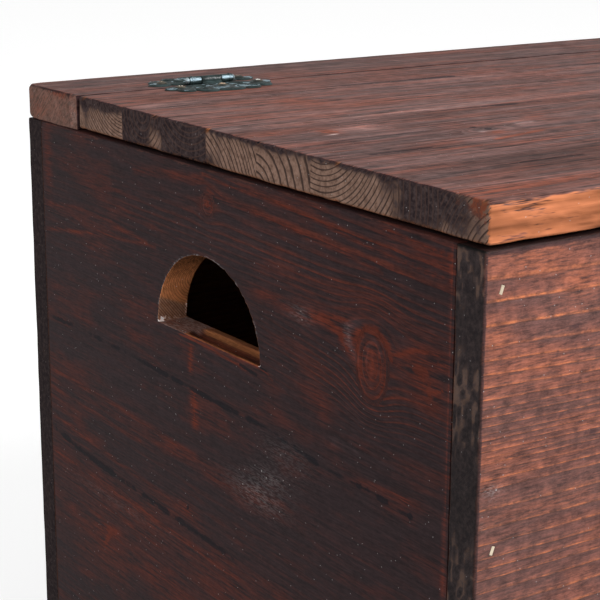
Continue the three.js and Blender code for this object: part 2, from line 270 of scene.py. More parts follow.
def stained_wood(name, **changes):
    """Stained softwood. The mesh carries "grain" (metres along the board, ring count, metres across it),
    "skin" (end grain, nearness to an arris, bareness) and "mood" (redness, darkness, dust). Where growth
    lines fade or the surface is lighter or darker, it carries "calm" (calmness, change of brightness)."""
    look = SimpleNamespace(**{**common, **changes})
    material, tree, shader = new_material(name, look.shine)
    along, count, across = three_of(tree, "grain")
    end, arris, bare = three_of(tree, "skin")
    red, dark, dust = three_of(tree, "mood")
    calmness, shade, _ = three_of(tree, "calm")
    place = flow_of(tree, "ShaderNodeTexCoord", {}, "Object")

    def drawn_out(per_metre_along, per_year, per_metre_across, detail=3, roughness=0.55):
        """Noise drawn out along the grain: how fine it is along, from year to year and across."""
        fineness = (per_metre_along, per_year, per_metre_across)
        return noise_of(stretched((along, count, across), fineness), 1.0, detail, roughness)

    def torn(amount, noise, reach, start=0.35, end=0.65):
        """An amount with its edge torn by noise: 0 below the start and 1 above the end."""
        return ease((noise - 0.5) * reach + amount, start, end)

    # The stripes of the years, which sway and shake a little.
    lively = clamped(1.0 - calmness)
    bent = (drawn_out(9, 0.45, 14) - 0.5) * look.sway + count
    bent = (drawn_out(60, 2.2, 120, 2) - 0.5) * look.shake + bent
    part, year = calc("FRACT", bent), calc("FLOOR", bent)
    year_strength = flow_of(tree, "ShaderNodeTexWhiteNoise", {"W": year}, noise_dimensions="1D")
    line = ease(part, 0.62, 0.84) * ease(part, 1.0, 0.94) * lively

    # Everything that is scattered.
    fibres_along, fibres_across = look.fibres
    fibre = drawn_out(fibres_along, 0.6, fibres_across, 3, 0.65)
    fleck = drawn_out(fibres_along * 6, 1.0, fibres_across * 2.2, 2)
    cloud = drawn_out(15, 0.3, 38, 4, 0.6)
    streak = drawn_out(22, 0.25, 240, 3, 0.6)
    mottle = noise_of(place, look.mottle, 3, 0.6)
    saw_marks = noise_of(place, 360.0, 4, 0.7)

    # The stained face: stripes, a grey bloom (on the lid partly a painted sheen), red streaks, dark marks,
    # and lighter and darker fibres.
    early, middle = (np.array(colour) for _, colour in look.ring[:2])
    fade = (year_strength * look.uneven + (1 - look.uneven)) * lively
    fade = fade * (ease(mottle, 0.4, 0.6) * look.patchy + (1 - look.patchy))
    face = mixed(fade * look.contrast, (early + middle) / 2, scale_of(part, look.ring))
    face = mixed(ease(cloud, 0.45, 0.62) * look.clouds * ease(fibre, 0.7, 0.35), face, look.cloud)
    streaky = ease(streak, 0.5, 0.68) * (calmness * 0.8 + 0.2)
    redness = streaky * (look.reds * 0.45) + (ease(cloud, 0.52, 0.36) * look.reds + red)
    redness = clamped(redness * ease(fibre, 0.3, 0.6))
    redness = calc("MAXIMUM", redness, torn(red, mottle, 0.6, 0.7, 0.9) * 0.9)
    face = mixed(redness, face, look.red)
    face = mixed(torn(dark, mottle, 1.0) * 0.9, face, look.dark)
    tone = (fibre - 0.5) * look.streaks + 1.0
    tone = (fleck - 0.5) * (look.streaks * 0.5) + tone
    tone = (mottle - 0.5) * look.blotches + tone
    face = toned(face, tone)

    # Sawn ends: pale and dry, or soaked with stain.
    ends = mixed(ease(saw_marks, 0.3, 0.7), look.end, look.end_pale)
    ends = mixed(line * 0.9, ends, look.end_line)
    ends = mixed(torn(red, saw_marks, 1.6), ends, look.end_red)
    soaked = mixed(ease(saw_marks, 0.35, 0.75), look.end_dark, look.end_grey)
    soaked = mixed(line * 0.5, soaked, look.end_ring)
    ends = mixed(torn(dark, saw_marks, 1.3, 0.2, 0.8), ends, soaked)
    colour = mixed(end, face, ends)

    # Wood that never saw the stain, and edges that lost it.
    faint = clamped(calc("MAXIMUM", ease(fibre, 0.45, 0.7) * 0.4, calmness))
    bare_stripe = mixed(faint, scale_of(part, bare_pine), bare_pine[1][1])
    colour = mixed(bare, colour, toned(bare_stripe, tone - dark * 0.65))
    colour = mixed(torn(arris, fleck, 1.4) * look.rub, colour, look.rubbed)

    # Dust, in single motes and as a haze.
    to_mote = flow_of(tree, "ShaderNodeTexVoronoi", {"Vector": place, "Scale": 230.0}, "Distance")
    mote = calc("LESS_THAN", to_mote, dust * 0.10 + mote_radius)
    haze = dust * ease(fleck, 0.42, 0.66)
    powder = clamped(calc("MAXIMUM", mote * 0.7, haze * 0.45))
    colour = toned(mixed(powder, colour, dust_colour), shade + 1.0)
    feed(shader.inputs["Base Color"], colour)

    roughness = fibre * 0.3 + (satin - 0.15)
    feed(shader.inputs["Roughness"], clamped(calc("MAXIMUM", bare, end) * 0.2 + roughness))
    height = fibre * 0.5 + line * 0.7 + fleck * 0.35 + saw_marks * end * 0.5
    feed(shader.inputs["Normal"], bumped(height, 0.55, 0.6 * mm))
    return material


# %% [markdown]
# ## Four finishes from the recipe
# The same stain looks different on each panel: the front was rubbed and is orange, the sides took it almost
# black with red streaks, and the lid weathered to a red brown with a grey bloom, which is partly a painted
# sheen. The inside was never stained.

# %% Finishes
bare_pine = [
    (0.0, (0.36, 0.150, 0.062)),
    (0.55, (0.31, 0.115, 0.045)),
    (0.86, (0.17, 0.050, 0.020)),
    (1.0, (0.34, 0.13, 0.055)),
]
mote_radius, dust_colour = 0.06, (0.36, 0.34, 0.34)
satin = 0.55
# What all finishes share, apart from what each changes. Colours are in linear light.
common = dict(
    shine=0.1, sway=0.8, shake=0.22, fibres=(50, 750), mottle=190, blotches=0.7, uneven=0.5, streaks=1.8,
    patchy=0.0, contrast=1.0, end=(0.13, 0.077, 0.057), end_pale=(0.28, 0.173, 0.131),
    end_line=(0.034, 0.022, 0.019),
    end_red=(0.17, 0.050, 0.028), end_dark=(0.022, 0.0150, 0.0168), end_grey=(0.073, 0.051, 0.049),
    end_ring=(0.085, 0.048, 0.038), rubbed=(0.10, 0.040, 0.030), rub=0.6,
)


def ringed(*stops):
    """Stops of a year's stripe, which ends as it starts."""
    return [*stops, (1.0, stops[0][1])]


front_finish = stained_wood(
    "front_stain",
    ring=ringed((0.0, (0.085, 0.044, 0.040)), (0.35, (0.14, 0.055, 0.044)), (0.80, (0.22, 0.074, 0.047)),
                (0.91, (0.50, 0.150, 0.056))),
    cloud=(0.095, 0.052, 0.047), clouds=0.6, red=(0.27, 0.084, 0.045), reds=0.35, dark=(0.045, 0.022, 0.022),
    sway=0.12, shake=0.12, uneven=0.45, fibres=(110, 1000), patchy=0.6, blotches=1.3,
)
carcass_finish = stained_wood(
    "carcass_stain",
    ring=ringed((0.0, (0.020, 0.0133, 0.0145)), (0.30, (0.034, 0.0205, 0.0215)),
                (0.58, (0.036, 0.018, 0.0178)), (0.74, (0.088, 0.0225, 0.0145)),
                (0.94, (0.105, 0.0250, 0.0150))),
    cloud=(0.026, 0.0170, 0.0186), clouds=0.55, red=(0.100, 0.0225, 0.0135), reds=0.34,
    dark=(0.009, 0.008, 0.010), shine=0.03, sway=0.4, shake=0.25, uneven=0.6, streaks=1.6, blotches=0.5,
    patchy=0.2,
)
# The lid's grey cloud colour and greyish early wood paint part of the sheen that its top shows.
lid_finish = stained_wood(
    "lid_stain",
    ring=ringed((0.0, (0.160, 0.092, 0.082)), (0.45, (0.112, 0.050, 0.043)), (0.80, (0.062, 0.025, 0.023)),
                (0.93, (0.036, 0.017, 0.017))),
    cloud=(0.120, 0.086, 0.084), clouds=0.6, red=(0.19, 0.058, 0.036), reds=0.4, dark=(0.022, 0.012, 0.014),
    shine=0.01, fibres=(16, 520), mottle=120, streaks=3.4, uneven=0.35, blotches=1.2,
    rubbed=(0.44, 0.150, 0.066), rub=0.9,
)
bare_wood = stained_wood(
    "bare_wood",
    ring=bare_pine, cloud=(0.24, 0.12, 0.06), clouds=0.4, red=(0.34, 0.14, 0.06), reds=0.3,
    dark=(0.12, 0.06, 0.035), end=(0.30, 0.15, 0.07), end_pale=(0.42, 0.24, 0.12),
    end_line=(0.15, 0.06, 0.03), streaks=0.9, contrast=0.8,
)
print("finishes", front_finish.name, carcass_finish.name, lid_finish.name, bare_wood.name)

# %% [markdown]
# ## Roughness in numbers
# Wear can't be drawn by hand everywhere, so it comes from smooth random heights: every corner of a lattice
# gets a scrambled number, and an S-curve blends them inside each cell. A rule of this kind gives the same
# wear each time.

# %% Smooth random heights


def unit(value):
    """The numbers kept between 0 and 1."""
    return np.clip(value, 0, 1)


def scrambled(cells, seed):
    """A number from 0 to 1 for each whole-numbered cell: the scrambled bits of its three indices."""
    mixture = seed * 668265263
    for axis, large_prime in enumerate((73856093, 19349663, 83492791)):
        mixture = mixture ^ (cells[..., axis] * large_prime)
    mixture = (mixture ^ (mixture >> 13)) * 1274126177
    return ((mixture ^ (mixture >> 16)) & 0xFFFFFF) / float(0x1000000)


def rough(points, size, seed):
    """Smooth random heights from 0 to 1. Cells have the given size, one number or one per axis."""
    scaled = points / np.asarray(size)
    cell = np.floor(scaled).astype(np.int64)
    inside = scaled - cell
    inside = inside * inside * (3 - 2 * inside)
    total = np.zeros(points.shape[:-1])
    for corner in np.ndindex(2, 2, 2):
        weight = np.prod(np.where(corner, inside, 1 - inside), axis=-1)
        total += weight * scrambled(cell + np.array(corner), seed)
    return total


def spots(u, v, marks):
    """Soft marks added up: each is (u, v, size along u, size along v, amount), all sizes in millimetres."""
    total = np.zeros_like(u)
    for centre_u, centre_v, size_u, size_v, amount in marks:
        total += amount * np.exp(-((u - centre_u) / size_u) ** 2 - ((v - centre_v) / size_v) ** 2)
    return total


def strokes(u, v, marks):
    """Soft brush strokes added up: each is (half width, amount, u, v, u, v and so on), and fades with the
    distance to its chain of straight lines. All lengths are in millimetres."""
    total = np.zeros_like(u)
    for half_width, amount, *path in marks:
        joints = np.reshape(path, (-1, 2))
        nearest = np.full(u.shape, 1e9)
        for start, run in zip(joints[:-1], np.diff(joints, axis=0)):
            from_u, from_v = u - start[0], v - start[1]
            share = unit((from_u * run[0] + from_v * run[1]) / (run @ run))
            nearest = np.minimum(nearest, np.hypot(from_u - share * run[0], from_v - share * run[1]))
        total += amount * np.exp(-(nearest / half_width) ** 2)
    return total


# %% [markdown]
# ## A board as a shell of six grids
# A sawn board is a block, but a block with sharp corners never looks like wood. Its six faces are grids of
# lines that crowd together near the edges. The edges are then eased: each point is pulled towards a
# slightly smaller block until it lies one radius away from it. The radius wanders along the edge, as a
# sanding block leaves it.

# %% Board shells
arris_lines = np.array([0.25, 0.5, 0.8, 1.15, 1.6, 2.2, 3.2]) * mm


def ruled(start, end, step, eased_start=True, eased_end=True, near=(), near_step=0.3 * mm, near_reach=3 * mm):
    """Grid lines from start to end: a step apart, and closer at eased ends and near given places."""
    lines = [np.linspace(start, end, max(2, int(math.ceil((end - start) / step)) + 1))]
    if eased_start:
        lines.append(start + arris_lines)
    if eased_end:
        lines.append(end - arris_lines)
    for place in near:
        lines.append(np.arange(place - near_reach, place + near_reach, near_step))
    together = np.unique(np.concatenate(lines))
    inside = together[(together > start + 0.15 * mm) & (together < end - 0.15 * mm)]
    spread = inside[np.concatenate([[True], np.diff(inside) > 0.15 * mm])]
    return np.concatenate([[start], spread, [end]])


def woven(index, *closed_axes):
    """Quads over a grid of point numbers, which meets itself along the closed axes."""
    for axis in closed_axes:
        index = np.concatenate([index, index.take([0], axis=axis)], axis=axis)
    corners_of_quads = [index[:-1, :-1], index[1:, :-1], index[1:, 1:], index[:-1, 1:]]
    return np.stack(corners_of_quads, axis=-1).reshape(-1, 4)


def block_shell(lines):
    """The six faces of a block as grids on three sets of lines, stitched into one closed shell."""
    points, quads, first = [], [], 0
    for axis in range(3):
        u, v = (axis + 1) % 3, (axis + 2) % 3
        for end in (0, -1):
            grid = np.empty((len(lines[u]), len(lines[v]), 3))
            grid[..., axis] = lines[axis][end]
            grid[..., u] = lines[u][:, None]
            grid[..., v] = lines[v][None, :]
            index = first + np.arange(grid[..., 0].size).reshape(grid.shape[:2])
            quads.append(woven(index) if end else woven(index)[:, ::-1])
            points.append(grid.reshape(-1, 3))
            first += index.size
    points, quads = np.concatenate(points), np.concatenate(quads)
    _, kept, where = np.unique(np.round(points / (0.001 * mm)).astype(np.int64), axis=0, return_index=True,
                               return_inverse=True)
    return points[kept], where.reshape(-1)[quads]


def eased(points, low, high, radius):
    """Points pulled onto a block with rounded edges, and the direction that faces outwards there."""
    r = radius[:, None]
    core = np.clip(points, low + r, high - r)
    away = points - core
    reach = np.linalg.norm(away, axis=1)
    outward = away / np.maximum(reach, 1e-9)[:, None]
    return core + outward * np.minimum(reach, radius)[:, None], outward


def surface(name, points, faces, material, carried=(), smooth=True):
    """A mesh object from arrays, with the named numbers that its material reads."""
    mesh = bpy.data.meshes.new(name)
    mesh.from_pydata(points.reshape(-1, 3), [], faces.tolist() if hasattr(faces, "tolist") else faces)
    mesh.polygons.foreach_set("use_smooth", np.full(len(mesh.polygons), smooth))
    for key, values in dict(carried).items():
        layer = mesh.attributes.new(key, "FLOAT_VECTOR", "POINT")
        layer.data.foreach_set("vector", np.ascontiguousarray(values, dtype=np.float32).ravel())
    mesh.materials.append(material)
    mesh.validate()
    mesh.set_sharp_from_angle(angle=math.radians(40))
    made = bpy.data.objects.new(name, mesh)
    bpy.context.collection.objects.link(made)
    return made


def dressed(piece, body, slot, *nodes):
    """Fixes a piece to a body and lets it stand for frame nodes. The slot, its finish's name, is not used."""
    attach(piece, body)
    if nodes:
        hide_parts(*nodes)
    return piece


# %% [markdown]
# ## Rings for a board
# Every board was sawn from somewhere in a trunk. The distance to the trunk's heart, counted in years, gives
# the stripes on all six faces at once, so the arcs on the end run into the lines on the face. A knot lifts
# the count round itself, and the lines flow past it as they do round a branch.

# %% Ring count and board maker


def unmarked(points):
    """No redness, darkness or dust anywhere."""
    return np.zeros((3, len(points)))


def ring_count(along, across, into, heart, spacing, drift=0.0, knots=(), seed=1):
    """Years from the heart: the distance across the grain to a line that drifts along the board, divided by
    the ring spacing. Each knot adds a soft hill of years. The heart and the spacing are in millimetres, and
    the rest is in metres."""
    offset_across = across - heart[0] * mm - drift * along
    offset_into = into - heart[1] * mm
    reach = np.hypot(offset_across, offset_into)
    years = reach / (spacing * mm)
    wander = rough(np.stack([along * 0, years / 4.0, years * 0], axis=-1), 1.0, seed)
    years = years + 1.6 * wander
    for at_along, at_across, size_along, size_across, lift in knots:
        distance = ((along - at_along) / size_along) ** 2 + ((across - at_across) / size_across) ** 2
        years = years + lift * np.exp(-distance)
    return years


def carried_by(points, outward, axes, years, low, high, raw, marks, arris_reach=1.6 * mm, seed=1):
    """The three triples of numbers that the wood recipe reads, for points of a board."""
    along_axis, across_axis, into_axis = axes
    end = unit((outward[:, along_axis] ** 2 - 0.25) * 2)
    gaps = np.sort(np.minimum(np.abs(points - low), np.abs(high - points)), axis=1)
    arris = np.exp(-(gaps[:, 1] / arris_reach) ** 2) * rough(points, 6 * mm, seed + 5)
    crossways = points[:, across_axis] + points[:, into_axis] + 0.11 * seed
    grain = np.stack([points[:, along_axis] + 0.37 * seed, years, crossways], axis=1)
    skin = np.stack([end, arris * 0.8, raw], axis=1)
    carried = {"grain": grain, "skin": skin, "mood": np.stack(marks[:3], axis=1)}
    if len(marks) > 3:
        carried["calm"] = np.stack([*marks[3:], raw * 0], axis=1)
    return carried


print("arris lines at", np.round(arris_lines / mm, 2), "mm")

# %% [markdown]
# ## The lid
# Eight staves, each from another trunk. Seen at the end, some show nests of arcs and some have drunk so
# much stain that they are nearly black. For each stave the heart of its trunk is given from the middle of
# the stave, as the arcs in the photograph show it.

# %% Lid staves
lid_body = "lid"
carcass_body = "carcass"
ALONG_X = (0, 1, 2)
ALONG_Y = (1, 2, 0)
# For each stave from the seam forwards: heart (mm towards the back, mm up), ring spacing in mm, drift.
stave_trunks = [
    ((-23, 30), 2.1, 0.010),
    ((-5, 9), 3.6, -0.015),
    ((0, 30), 3.0, 0.012),
    ((46, -34), 3.1, 0.000),
    ((28, -16), 5.2, 0.012),
    ((21, 31), 2.5, -0.010),
    ((60, 0), 3.6, 0.010),
    ((-30, -25), 2.7, 0.008),
]
# Knots: x and y of the middle and half sizes along both in metres, and the years that each adds.
lid_knots = [
    (-0.182, -0.070, 0.012, 0.006, 4.0),
    (-0.150, -0.064, 0.012, 0.005, 2.4),
    (-0.242, -0.030, 0.018, 0.006, 2.0),
    (0.060, 0.050, 0.016, 0.008, 4.0),
    (0.190, -0.120, 0.015, 0.007, 4.0),
    (-0.020, 0.120, 0.014, 0.006, 3.0),
]
# Stain soaked into the left end: mm from the back, mm below the top, sizes along both, amount.
end_soaked = [
    (97, 1, 20, 4.0, 1.4), (68, 3, 9, 5, 0.7), (73, 10, 5, 12, 0.35), (222, 0, 30, 2.4, 0.8),
    (206, 16, 7, 5, 0.6), (262, 0, 24, 3.4, 0.9), (322, 0, 34, 2.6, 0.9), (350, 2, 5, 9, 0.5),
    (369, 8, 13, 18, 1.0), (388, 5, 10, 10, 0.9), (405, 10, 12, 12, 0.5),
]
end_reddened = [(395, 4, 12, 3, 0.75), (412, 3, 6, 9, 0.8), (350, 0, 40, 1.8, 0.6), (235, 0, 50, 1.5, 0.6)]
# Marks on the lid's top, in the order that spots() and strokes() explain.
lid_red_spots = [
    (243, 48, 7, 5, 1.5), (289, 118, 3.2, 5, 1.1), (402, 40, 9, 90, 0.9), (233, 15, 6, 20, 0.6),
    (313, 70, 3, 40, 0.4), (262, 168, 3, 8, 0.7), (206, 75, 5, 9, 0.6), (365, 110, 18, 50, 0.35),
    (176, 120, 7, 150, 0.6), (150, 95, 14, 14, 0.7), (135, 60, 9, 22, 0.6), (104, 20, 9, 40, 0.6),
    (88, 60, 10, 70, 0.35), (103, 70, 4, 50, 0.4), (68, 120, 5, 120, 0.3), (186, 210, 4, 40, 0.4),
]
lid_red_strokes = [
    (1.7, 1.6, 305, 105, 303, 114, 300, 128, 297.5, 140), (1.1, 0.6, 313, 5, 314, 60, 317, 100, 321, 155),
    (1.4, 0.5, 255, 92, 254, 150, 258, 190), (1.0, 0.4, 292, 60, 294, 120, 296, 170),
]
lid_dark_strokes = [
    (1.2, 0.7, 221, 2, 222, 38), (1.7, 0.7, 220, 66, 218, 108), (2.4, 0.6, 219, 140, 221, 190),
    (1.3, 0.6, 257, 45, 254, 90, 256, 150), (1.9, 0.8, 307, 26, 306, 64), (1.8, 1.2, 272, 117, 280, 121),
    (1.4, 0.6, 359, 66, 359, 110), (1.2, 0.6, 309, 88, 313, 118, 315, 155), (1.0, 0.5, 268, 30, 268, 95),
    (1.0, 0.5, 279, 20, 280, 80), (0.9, 0.45, 291, 40, 293, 112), (1.1, 0.5, 235, 160, 236, 230),
    (3.4, 1.0, 111, 152, 112, 236), (3.0, 0.8, 113, 290, 113, 370), (2.0, 0.5, 172, 190, 170, 330),
    (1.8, 0.5, 135, 70, 136, 190), (4.5, 0.6, 145, 235, 148, 340), (2.0, 0.5, 190, 50, 188, 160),
    (2.6, 0.6, 112, 82, 114, 108), (2.4, 0.7, 127, 22, 128, 48), (3.2, 0.4, 68, 212, 69, 262),
    (4.0, 0.5, 221, 180, 223, 262),
]
lid_dust_spots = [
    (251, 44, 1.3, 2.6, 3.0), (275, 148, 5, 8, 0.3), (284.5, 114, 2, 2.5, 1.2), (212, 120, 3, 90, 0.25),
]
lid_lively_spots = [
    (280, 60, 18, 70, 0.7), (322, 125, 9, 40, 0.6), (240, 120, 14, 70, 0.25), (350, 60, 9, 60, 0.3),
    (120, 250, 50, 120, 0.45),
]
lid_shade_spots = [
    (251, 44, 1.3, 2.6, 1.2), (243, 68, 9, 15, 0.55), (212, 150, 3.5, 140, 0.22), (276, 148, 8, 10, 0.35),
    (284, 113, 3, 4, 0.5), (285, 128, 9, 8, 0.15), (301, 100, 5, 12, 0.45), (330, 60, 9, 90, 0.12),
    (366, 95, 19, 55, -0.22), (392, 40, 6, 90, 0.10), (261, 120, 3, 110, 0.14), (225, 75, 5, 20, 0.14),
    (120, 240, 8, 130, 0.28), (134, 270, 8, 90, 0.18), (166, 230, 3.5, 90, 0.28), (118, 20, 6, 14, 0.28),
    (157, 50, 7, 50, 0.16), (192, 60, 5, 60, 0.2), (205, 170, 8, 130, 0.2), (226, 150, 4, 160, -0.2),
    (252, 60, 6, 90, -0.15), (306, 60, 5, 60, -0.18), (345, 90, 7, 90, -0.18), (92, 30, 14, 60, -0.08),
]


def lid_marks(points):
    """The marks on the lid. u runs from the back of the box forwards and v from its left end."""
    u, v = (box_back - points[:, 1]) / mm, (points[:, 0] - box_left) / mm
    red = spots(u, v, lid_red_spots)
    red += strokes(u, v, lid_red_strokes)
    dark = strokes(u, v, lid_dark_strokes)
    dark += spots(u, v, [(350, 100, 8, 40, 0.3), (375, 60, 8, 50, 0.35)])
    dust = spots(u, v, lid_dust_spots)
    dark += strokes(u, v, [(0.8, 0.42, 262 + 2.6 * k, 4, 263 + 2.6 * k, 108) for k in range(13)])
    # The lid's back face at the seam is darkened: painted shade in the gap to the rail, with dirt.
    dark += unit(1 - (lid_high[1] - points[:, 1]) / (0.4 * mm))
    dark *= 0.35 + 0.95 * rough(points, (34 * mm, 5 * mm, 1), 38)
    calm = unit(0.75 - spots(u, v, lid_lively_spots))
    shade = spots(u, v, lid_shade_spots)
    deep = (lid_high[2] - points[:, 2]) / mm
    at_end = unit(1 - (points[:, 0] - lid_low[0]) / (2.0 * mm))
    ragged = 0.7 + 0.6 * rough(points, (1, 4 * mm, 2 * mm), 31)
    seam_1, seam_2, seam_3 = ((box_back - corners(f"lid_stave_{index}")[0][1]) / mm for index in (1, 2, 3))
    pale_patch = spots(u, deep, [(seam_2 - 7, 14, 10, 9, 1.1), (seam_2 + 18, 15, 9, 3, 0.35)])
    pale_patch *= (u < seam_2) * 0.8 + 0.2
    soaked = np.where((u > seam_1 + 0.3) & (u < seam_3), 1.15 - pale_patch, spots(u, deep, end_soaked))
    smear = 0.5 * rough(points, (1, 2.5 * mm, 30 * mm), 33) ** 2
    dark = np.maximum(dark * (1 - at_end), at_end * (soaked * ragged + smear))
    end_calm = spots(u, deep, [(68, 9, 8, 14, 0.8), (155, 9, 4, 14, 0.5)])
    red = np.maximum(red * (1 - at_end), at_end * spots(u, deep, end_reddened) * ragged)
    calm = calm * (1 - at_end) + end_calm * at_end
    at_front = unit(1 - (points[:, 1] - lid_low[1]) / (1.2 * mm))
    long_streaks = rough(points, (45 * mm, 1, 1.6 * mm), 35)
    short_streaks = rough(points, (7 * mm, 1, 0.8 * mm), 36)
    front_streaks = 1.0 * long_streaks + 0.6 * short_streaks - 0.92
    shade = 1.8 * shade * (1 - at_end) * (1 - at_front) + at_front * front_streaks + 0.1 * at_end
    return red, dark, dust * (1 - at_end), calm, shade


def lid_stave(name, index):
    """One stave: its edges are eased as part of the whole lid, its rings are its own trunk's."""
    low, high = corners(name)
    heart, spacing, drift = stave_trunks[index]
    lines = [
        ruled(low[0], high[0], 4 * mm),
        ruled(low[1], high[1], 1.2 * mm, index == len(stave_trunks) - 1, index == 0),
        ruled(low[2], high[2], 1.5 * mm),
    ]
    points, quads = block_shell(lines)
    wander = rough(points, 9 * mm, 3)
    chips = spots(points[:, 0] / mm, points[:, 1] / mm, chip_places)
    radius = (1.2 + 1.3 * wander + chips) * mm
    shaped, outward = eased(points, lid_low, lid_high, radius)
    sink = 0.16 * mm * rough(points, (60 * mm, 7 * mm, 30 * mm), 8)
    sink += 0.05 * mm * rough(points, (20 * mm, 1.6 * mm, 9 * mm), 9)
    shaped = shaped - outward * sink[:, None]
    middle = (low + high) / 2
    knots = [(x, y - middle[1], half_x, half_y, lift) for x, y, half_x, half_y, lift in lid_knots]
    _, across, into = (points - middle).T
    years = ring_count(points[:, 0], across, into, heart, spacing, drift, knots, seed=11 + index)
    near_top = unit(1 - (lid_high[2] - points[:, 2]) / (3 * mm))
    raw = np.maximum(unit(-outward[:, 2]) * 0.55, unit(chips - 0.4) * near_top)
    moods = lid_marks(points)
    carried = carried_by(points, outward, ALONG_X, years, lid_low, lid_high, raw, moods, seed=20 + index)
    blotch = unit((rough(points, (16 * mm, 1, 4 * mm), 37) - 0.5) * 3)
    from_top = unit((lid_high[2] - points[:, 2]) / (3 * mm))
    carried["skin"][:, 1] = unit(-outward[:, 1]) * 0.9 * (1 - 0.35 * blotch) * (0.35 + 0.65 * from_top)
    return surface(f"{name}_worn", shaped, quads, lid_finish, carried)


# Chips out of the lid's left edge and its seam: x, y, size along x, size along y, extra radius, all in mm.
end_x, seam_y = lid_low[0] / mm, lid_high[1] / mm
chip_places = [
    (end_x, 7, 3, 2.2, 1.6), (end_x, -104, 3, 2.0, 1.2), (end_x, 60, 3, 5, 0.8), (end_x, 140, 4, 3, 1.0),
    (end_x, -40, 3, 3, 0.7), (end_x, -205, 3, 3, 0.8), (-284, seam_y, 5, 3, 0.9), (-120, seam_y, 8, 3, 0.6),
    (90, seam_y, 9, 3, 0.8),
]
for index, name in enumerate(numbered("lid_stave_")):
    dressed(lid_stave(name, index), lid_body, "lid_stain", name)
print("lid staves", len(stave_trunks))

# %% [markdown]
# ## The fixed rail
# The strip behind the lid is one plank. It is sawn, eased and stained like the staves, but it rides with
# the walls.

# %% Rear rail


def plank(name, finish, axes, heart, spacing, drift, step, ease_box, raw_side=(0, 0, 0), marks=unmarked,
          seed=50, chips=(), end_share=1.0, rubbed_share=1.0):
    """A single straight board with its own trunk. raw_side is a direction in which the wood stays bare,
    chips are places on the plan where the edges are rounder, end_share says how much of the end grain
    shows, and rubbed_share how much of the edges' wear."""
    low, high = corners(name)
    fine = [abs(low[axis] - ease_box[0][axis]) < 1e-5 for axis in range(3)]
    fine_end = [abs(high[axis] - ease_box[1][axis]) < 1e-5 for axis in range(3)]
    lines = [ruled(low[axis], high[axis], step[axis], fine[axis], fine_end[axis]) for axis in range(3)]
    points, quads = block_shell(lines)
    chipped = spots(points[:, 0] / mm, points[:, 1] / mm, chips)
    radius = (0.6 + 0.9 * rough(points, 10 * mm, seed) + chipped) * mm
    shaped, outward = eased(points, *ease_box, radius)
    sink = 0.12 * mm * rough(points, 40 * mm, 7)
    shaped = shaped - outward * sink[:, None]
    middle = (low + high) / 2
    along, across, into = (points[:, axis] - middle[axis] for axis in axes)
    years = ring_count(along, across, into, heart, spacing, drift, seed=seed)
    raw = unit(outward @ np.array(raw_side, dtype=float))
    carried = carried_by(points, outward, axes, years, *ease_box, raw, marks(points), seed=seed)
    carried["skin"][:, :2] *= (end_share, rubbed_share)
    return surface(f"{name}_worn", shaped, quads, finish, carried)


def rail_marks(points):
    """The rail's left end is smooth brown, with a darker top edge and a pale patch beside the seam."""
    u, deep = (box_back - points[:, 1]) / mm, (rail_high[2] - points[:, 2]) / mm
    at_end = unit(1 - (points[:, 0] - rail_low[0]) / (3 * mm))
    red = at_end * spots(u, deep, [(42, 1, 16, 3, 0.7), (12, 12, 12, 6, 0.3), (34, 10, 30, 8, 0.25)])
    dark = spots(u, deep, [(30, 0, 40, 2.2, 0.7), (1, 8, 2, 12, 0.4)])
    dark = at_end * (dark + strokes(u, deep, [(1.4, 0.4, 52, 1, 52, 19)]))
    # The rail's front face at the seam is darkened: painted shade in the gap to the lid, with dirt.
    dark += unit(1 - (points[:, 1] - rail_low[1]) / (0.4 * mm))
    shade = at_end * (spots(u, deep, [(57, 12, 4, 7, 0.3), (30, 9, 14, 8, 0.12)]) - 0.03) - 0.1 * (1 - at_end)
    return red, dark, at_end * spots(u, deep, [(57, 12, 3, 6, 0.5)]), 0.5 + 0.5 * at_end, shade


rail_box = (rail_low, rail_high)
rail_chips = [(rail_low[0] / mm, rail_high[1] / mm, 5, 5, 2.6)]
rail = plank("rear_rail", lid_finish, ALONG_X, (9, -70), 2.6, 0.01, (4 * mm, 1.5 * mm, 2 * mm), rail_box,
             marks=rail_marks, seed=61, chips=rail_chips, end_share=0.4, rubbed_share=0.12)
# The rail's left end slants: its front corner lies further in.
end_slant, slanted_stretch = 1.3 * mm, 12 * mm
at = np.empty(3 * len(rail.data.vertices))
rail.data.vertices.foreach_get("co", at)
at = at.reshape(-1, 3)
end_share = unit(1 - (at[:, 0] - rail_low[0]) / slanted_stretch)
seam_share = unit((rail_high[1] - at[:, 1]) / (rail_high[1] - rail_low[1]))
at[:, 0] += end_slant * end_share * seam_share
rail.data.vertices.foreach_set("co", at.ravel())
dressed(rail, carcass_body, "lid_stain", "rear_rail")

# %% [markdown]
# ## Front and back walls
# The front panel faces the light. Its growth lines were counted in the photograph from the top edge down,
# and the ring count is simply read off that list, so each line lies where it really is. Below the last one
# a plain trunk takes over. The brad heads sit in small pockets, which are pressed into the grid.

# %% Front wall
growth_lines = np.array([
    -9, -1, 12.8, 22.3, 32.3, 41, 47, 53, 58.5, 64, 68, 71.5, 75.5, 79, 81.5, 84, 86.5, 89.5, 92, 95.5, 99.5,
    103.5, 113.2, 121.8, 128.7, 135.5, 140, 145, 151, 159, 168, 175, 181, 186, 191,
])
years_per_mm_below = 0.21
brad_names = [name for name in frame["nodes"] if "_brad_" in name]
brad_places = {name: (np.array(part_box(name)[0]) + np.array(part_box(name)[1])) / 2 for name in brad_names}
head_lean = math.radians(70)
head_half_length, head_half_width = 2.0 * mm, 0.85 * mm
pocket_full_depth, pocket_slope = 0.4 * mm, 0.5 * mm


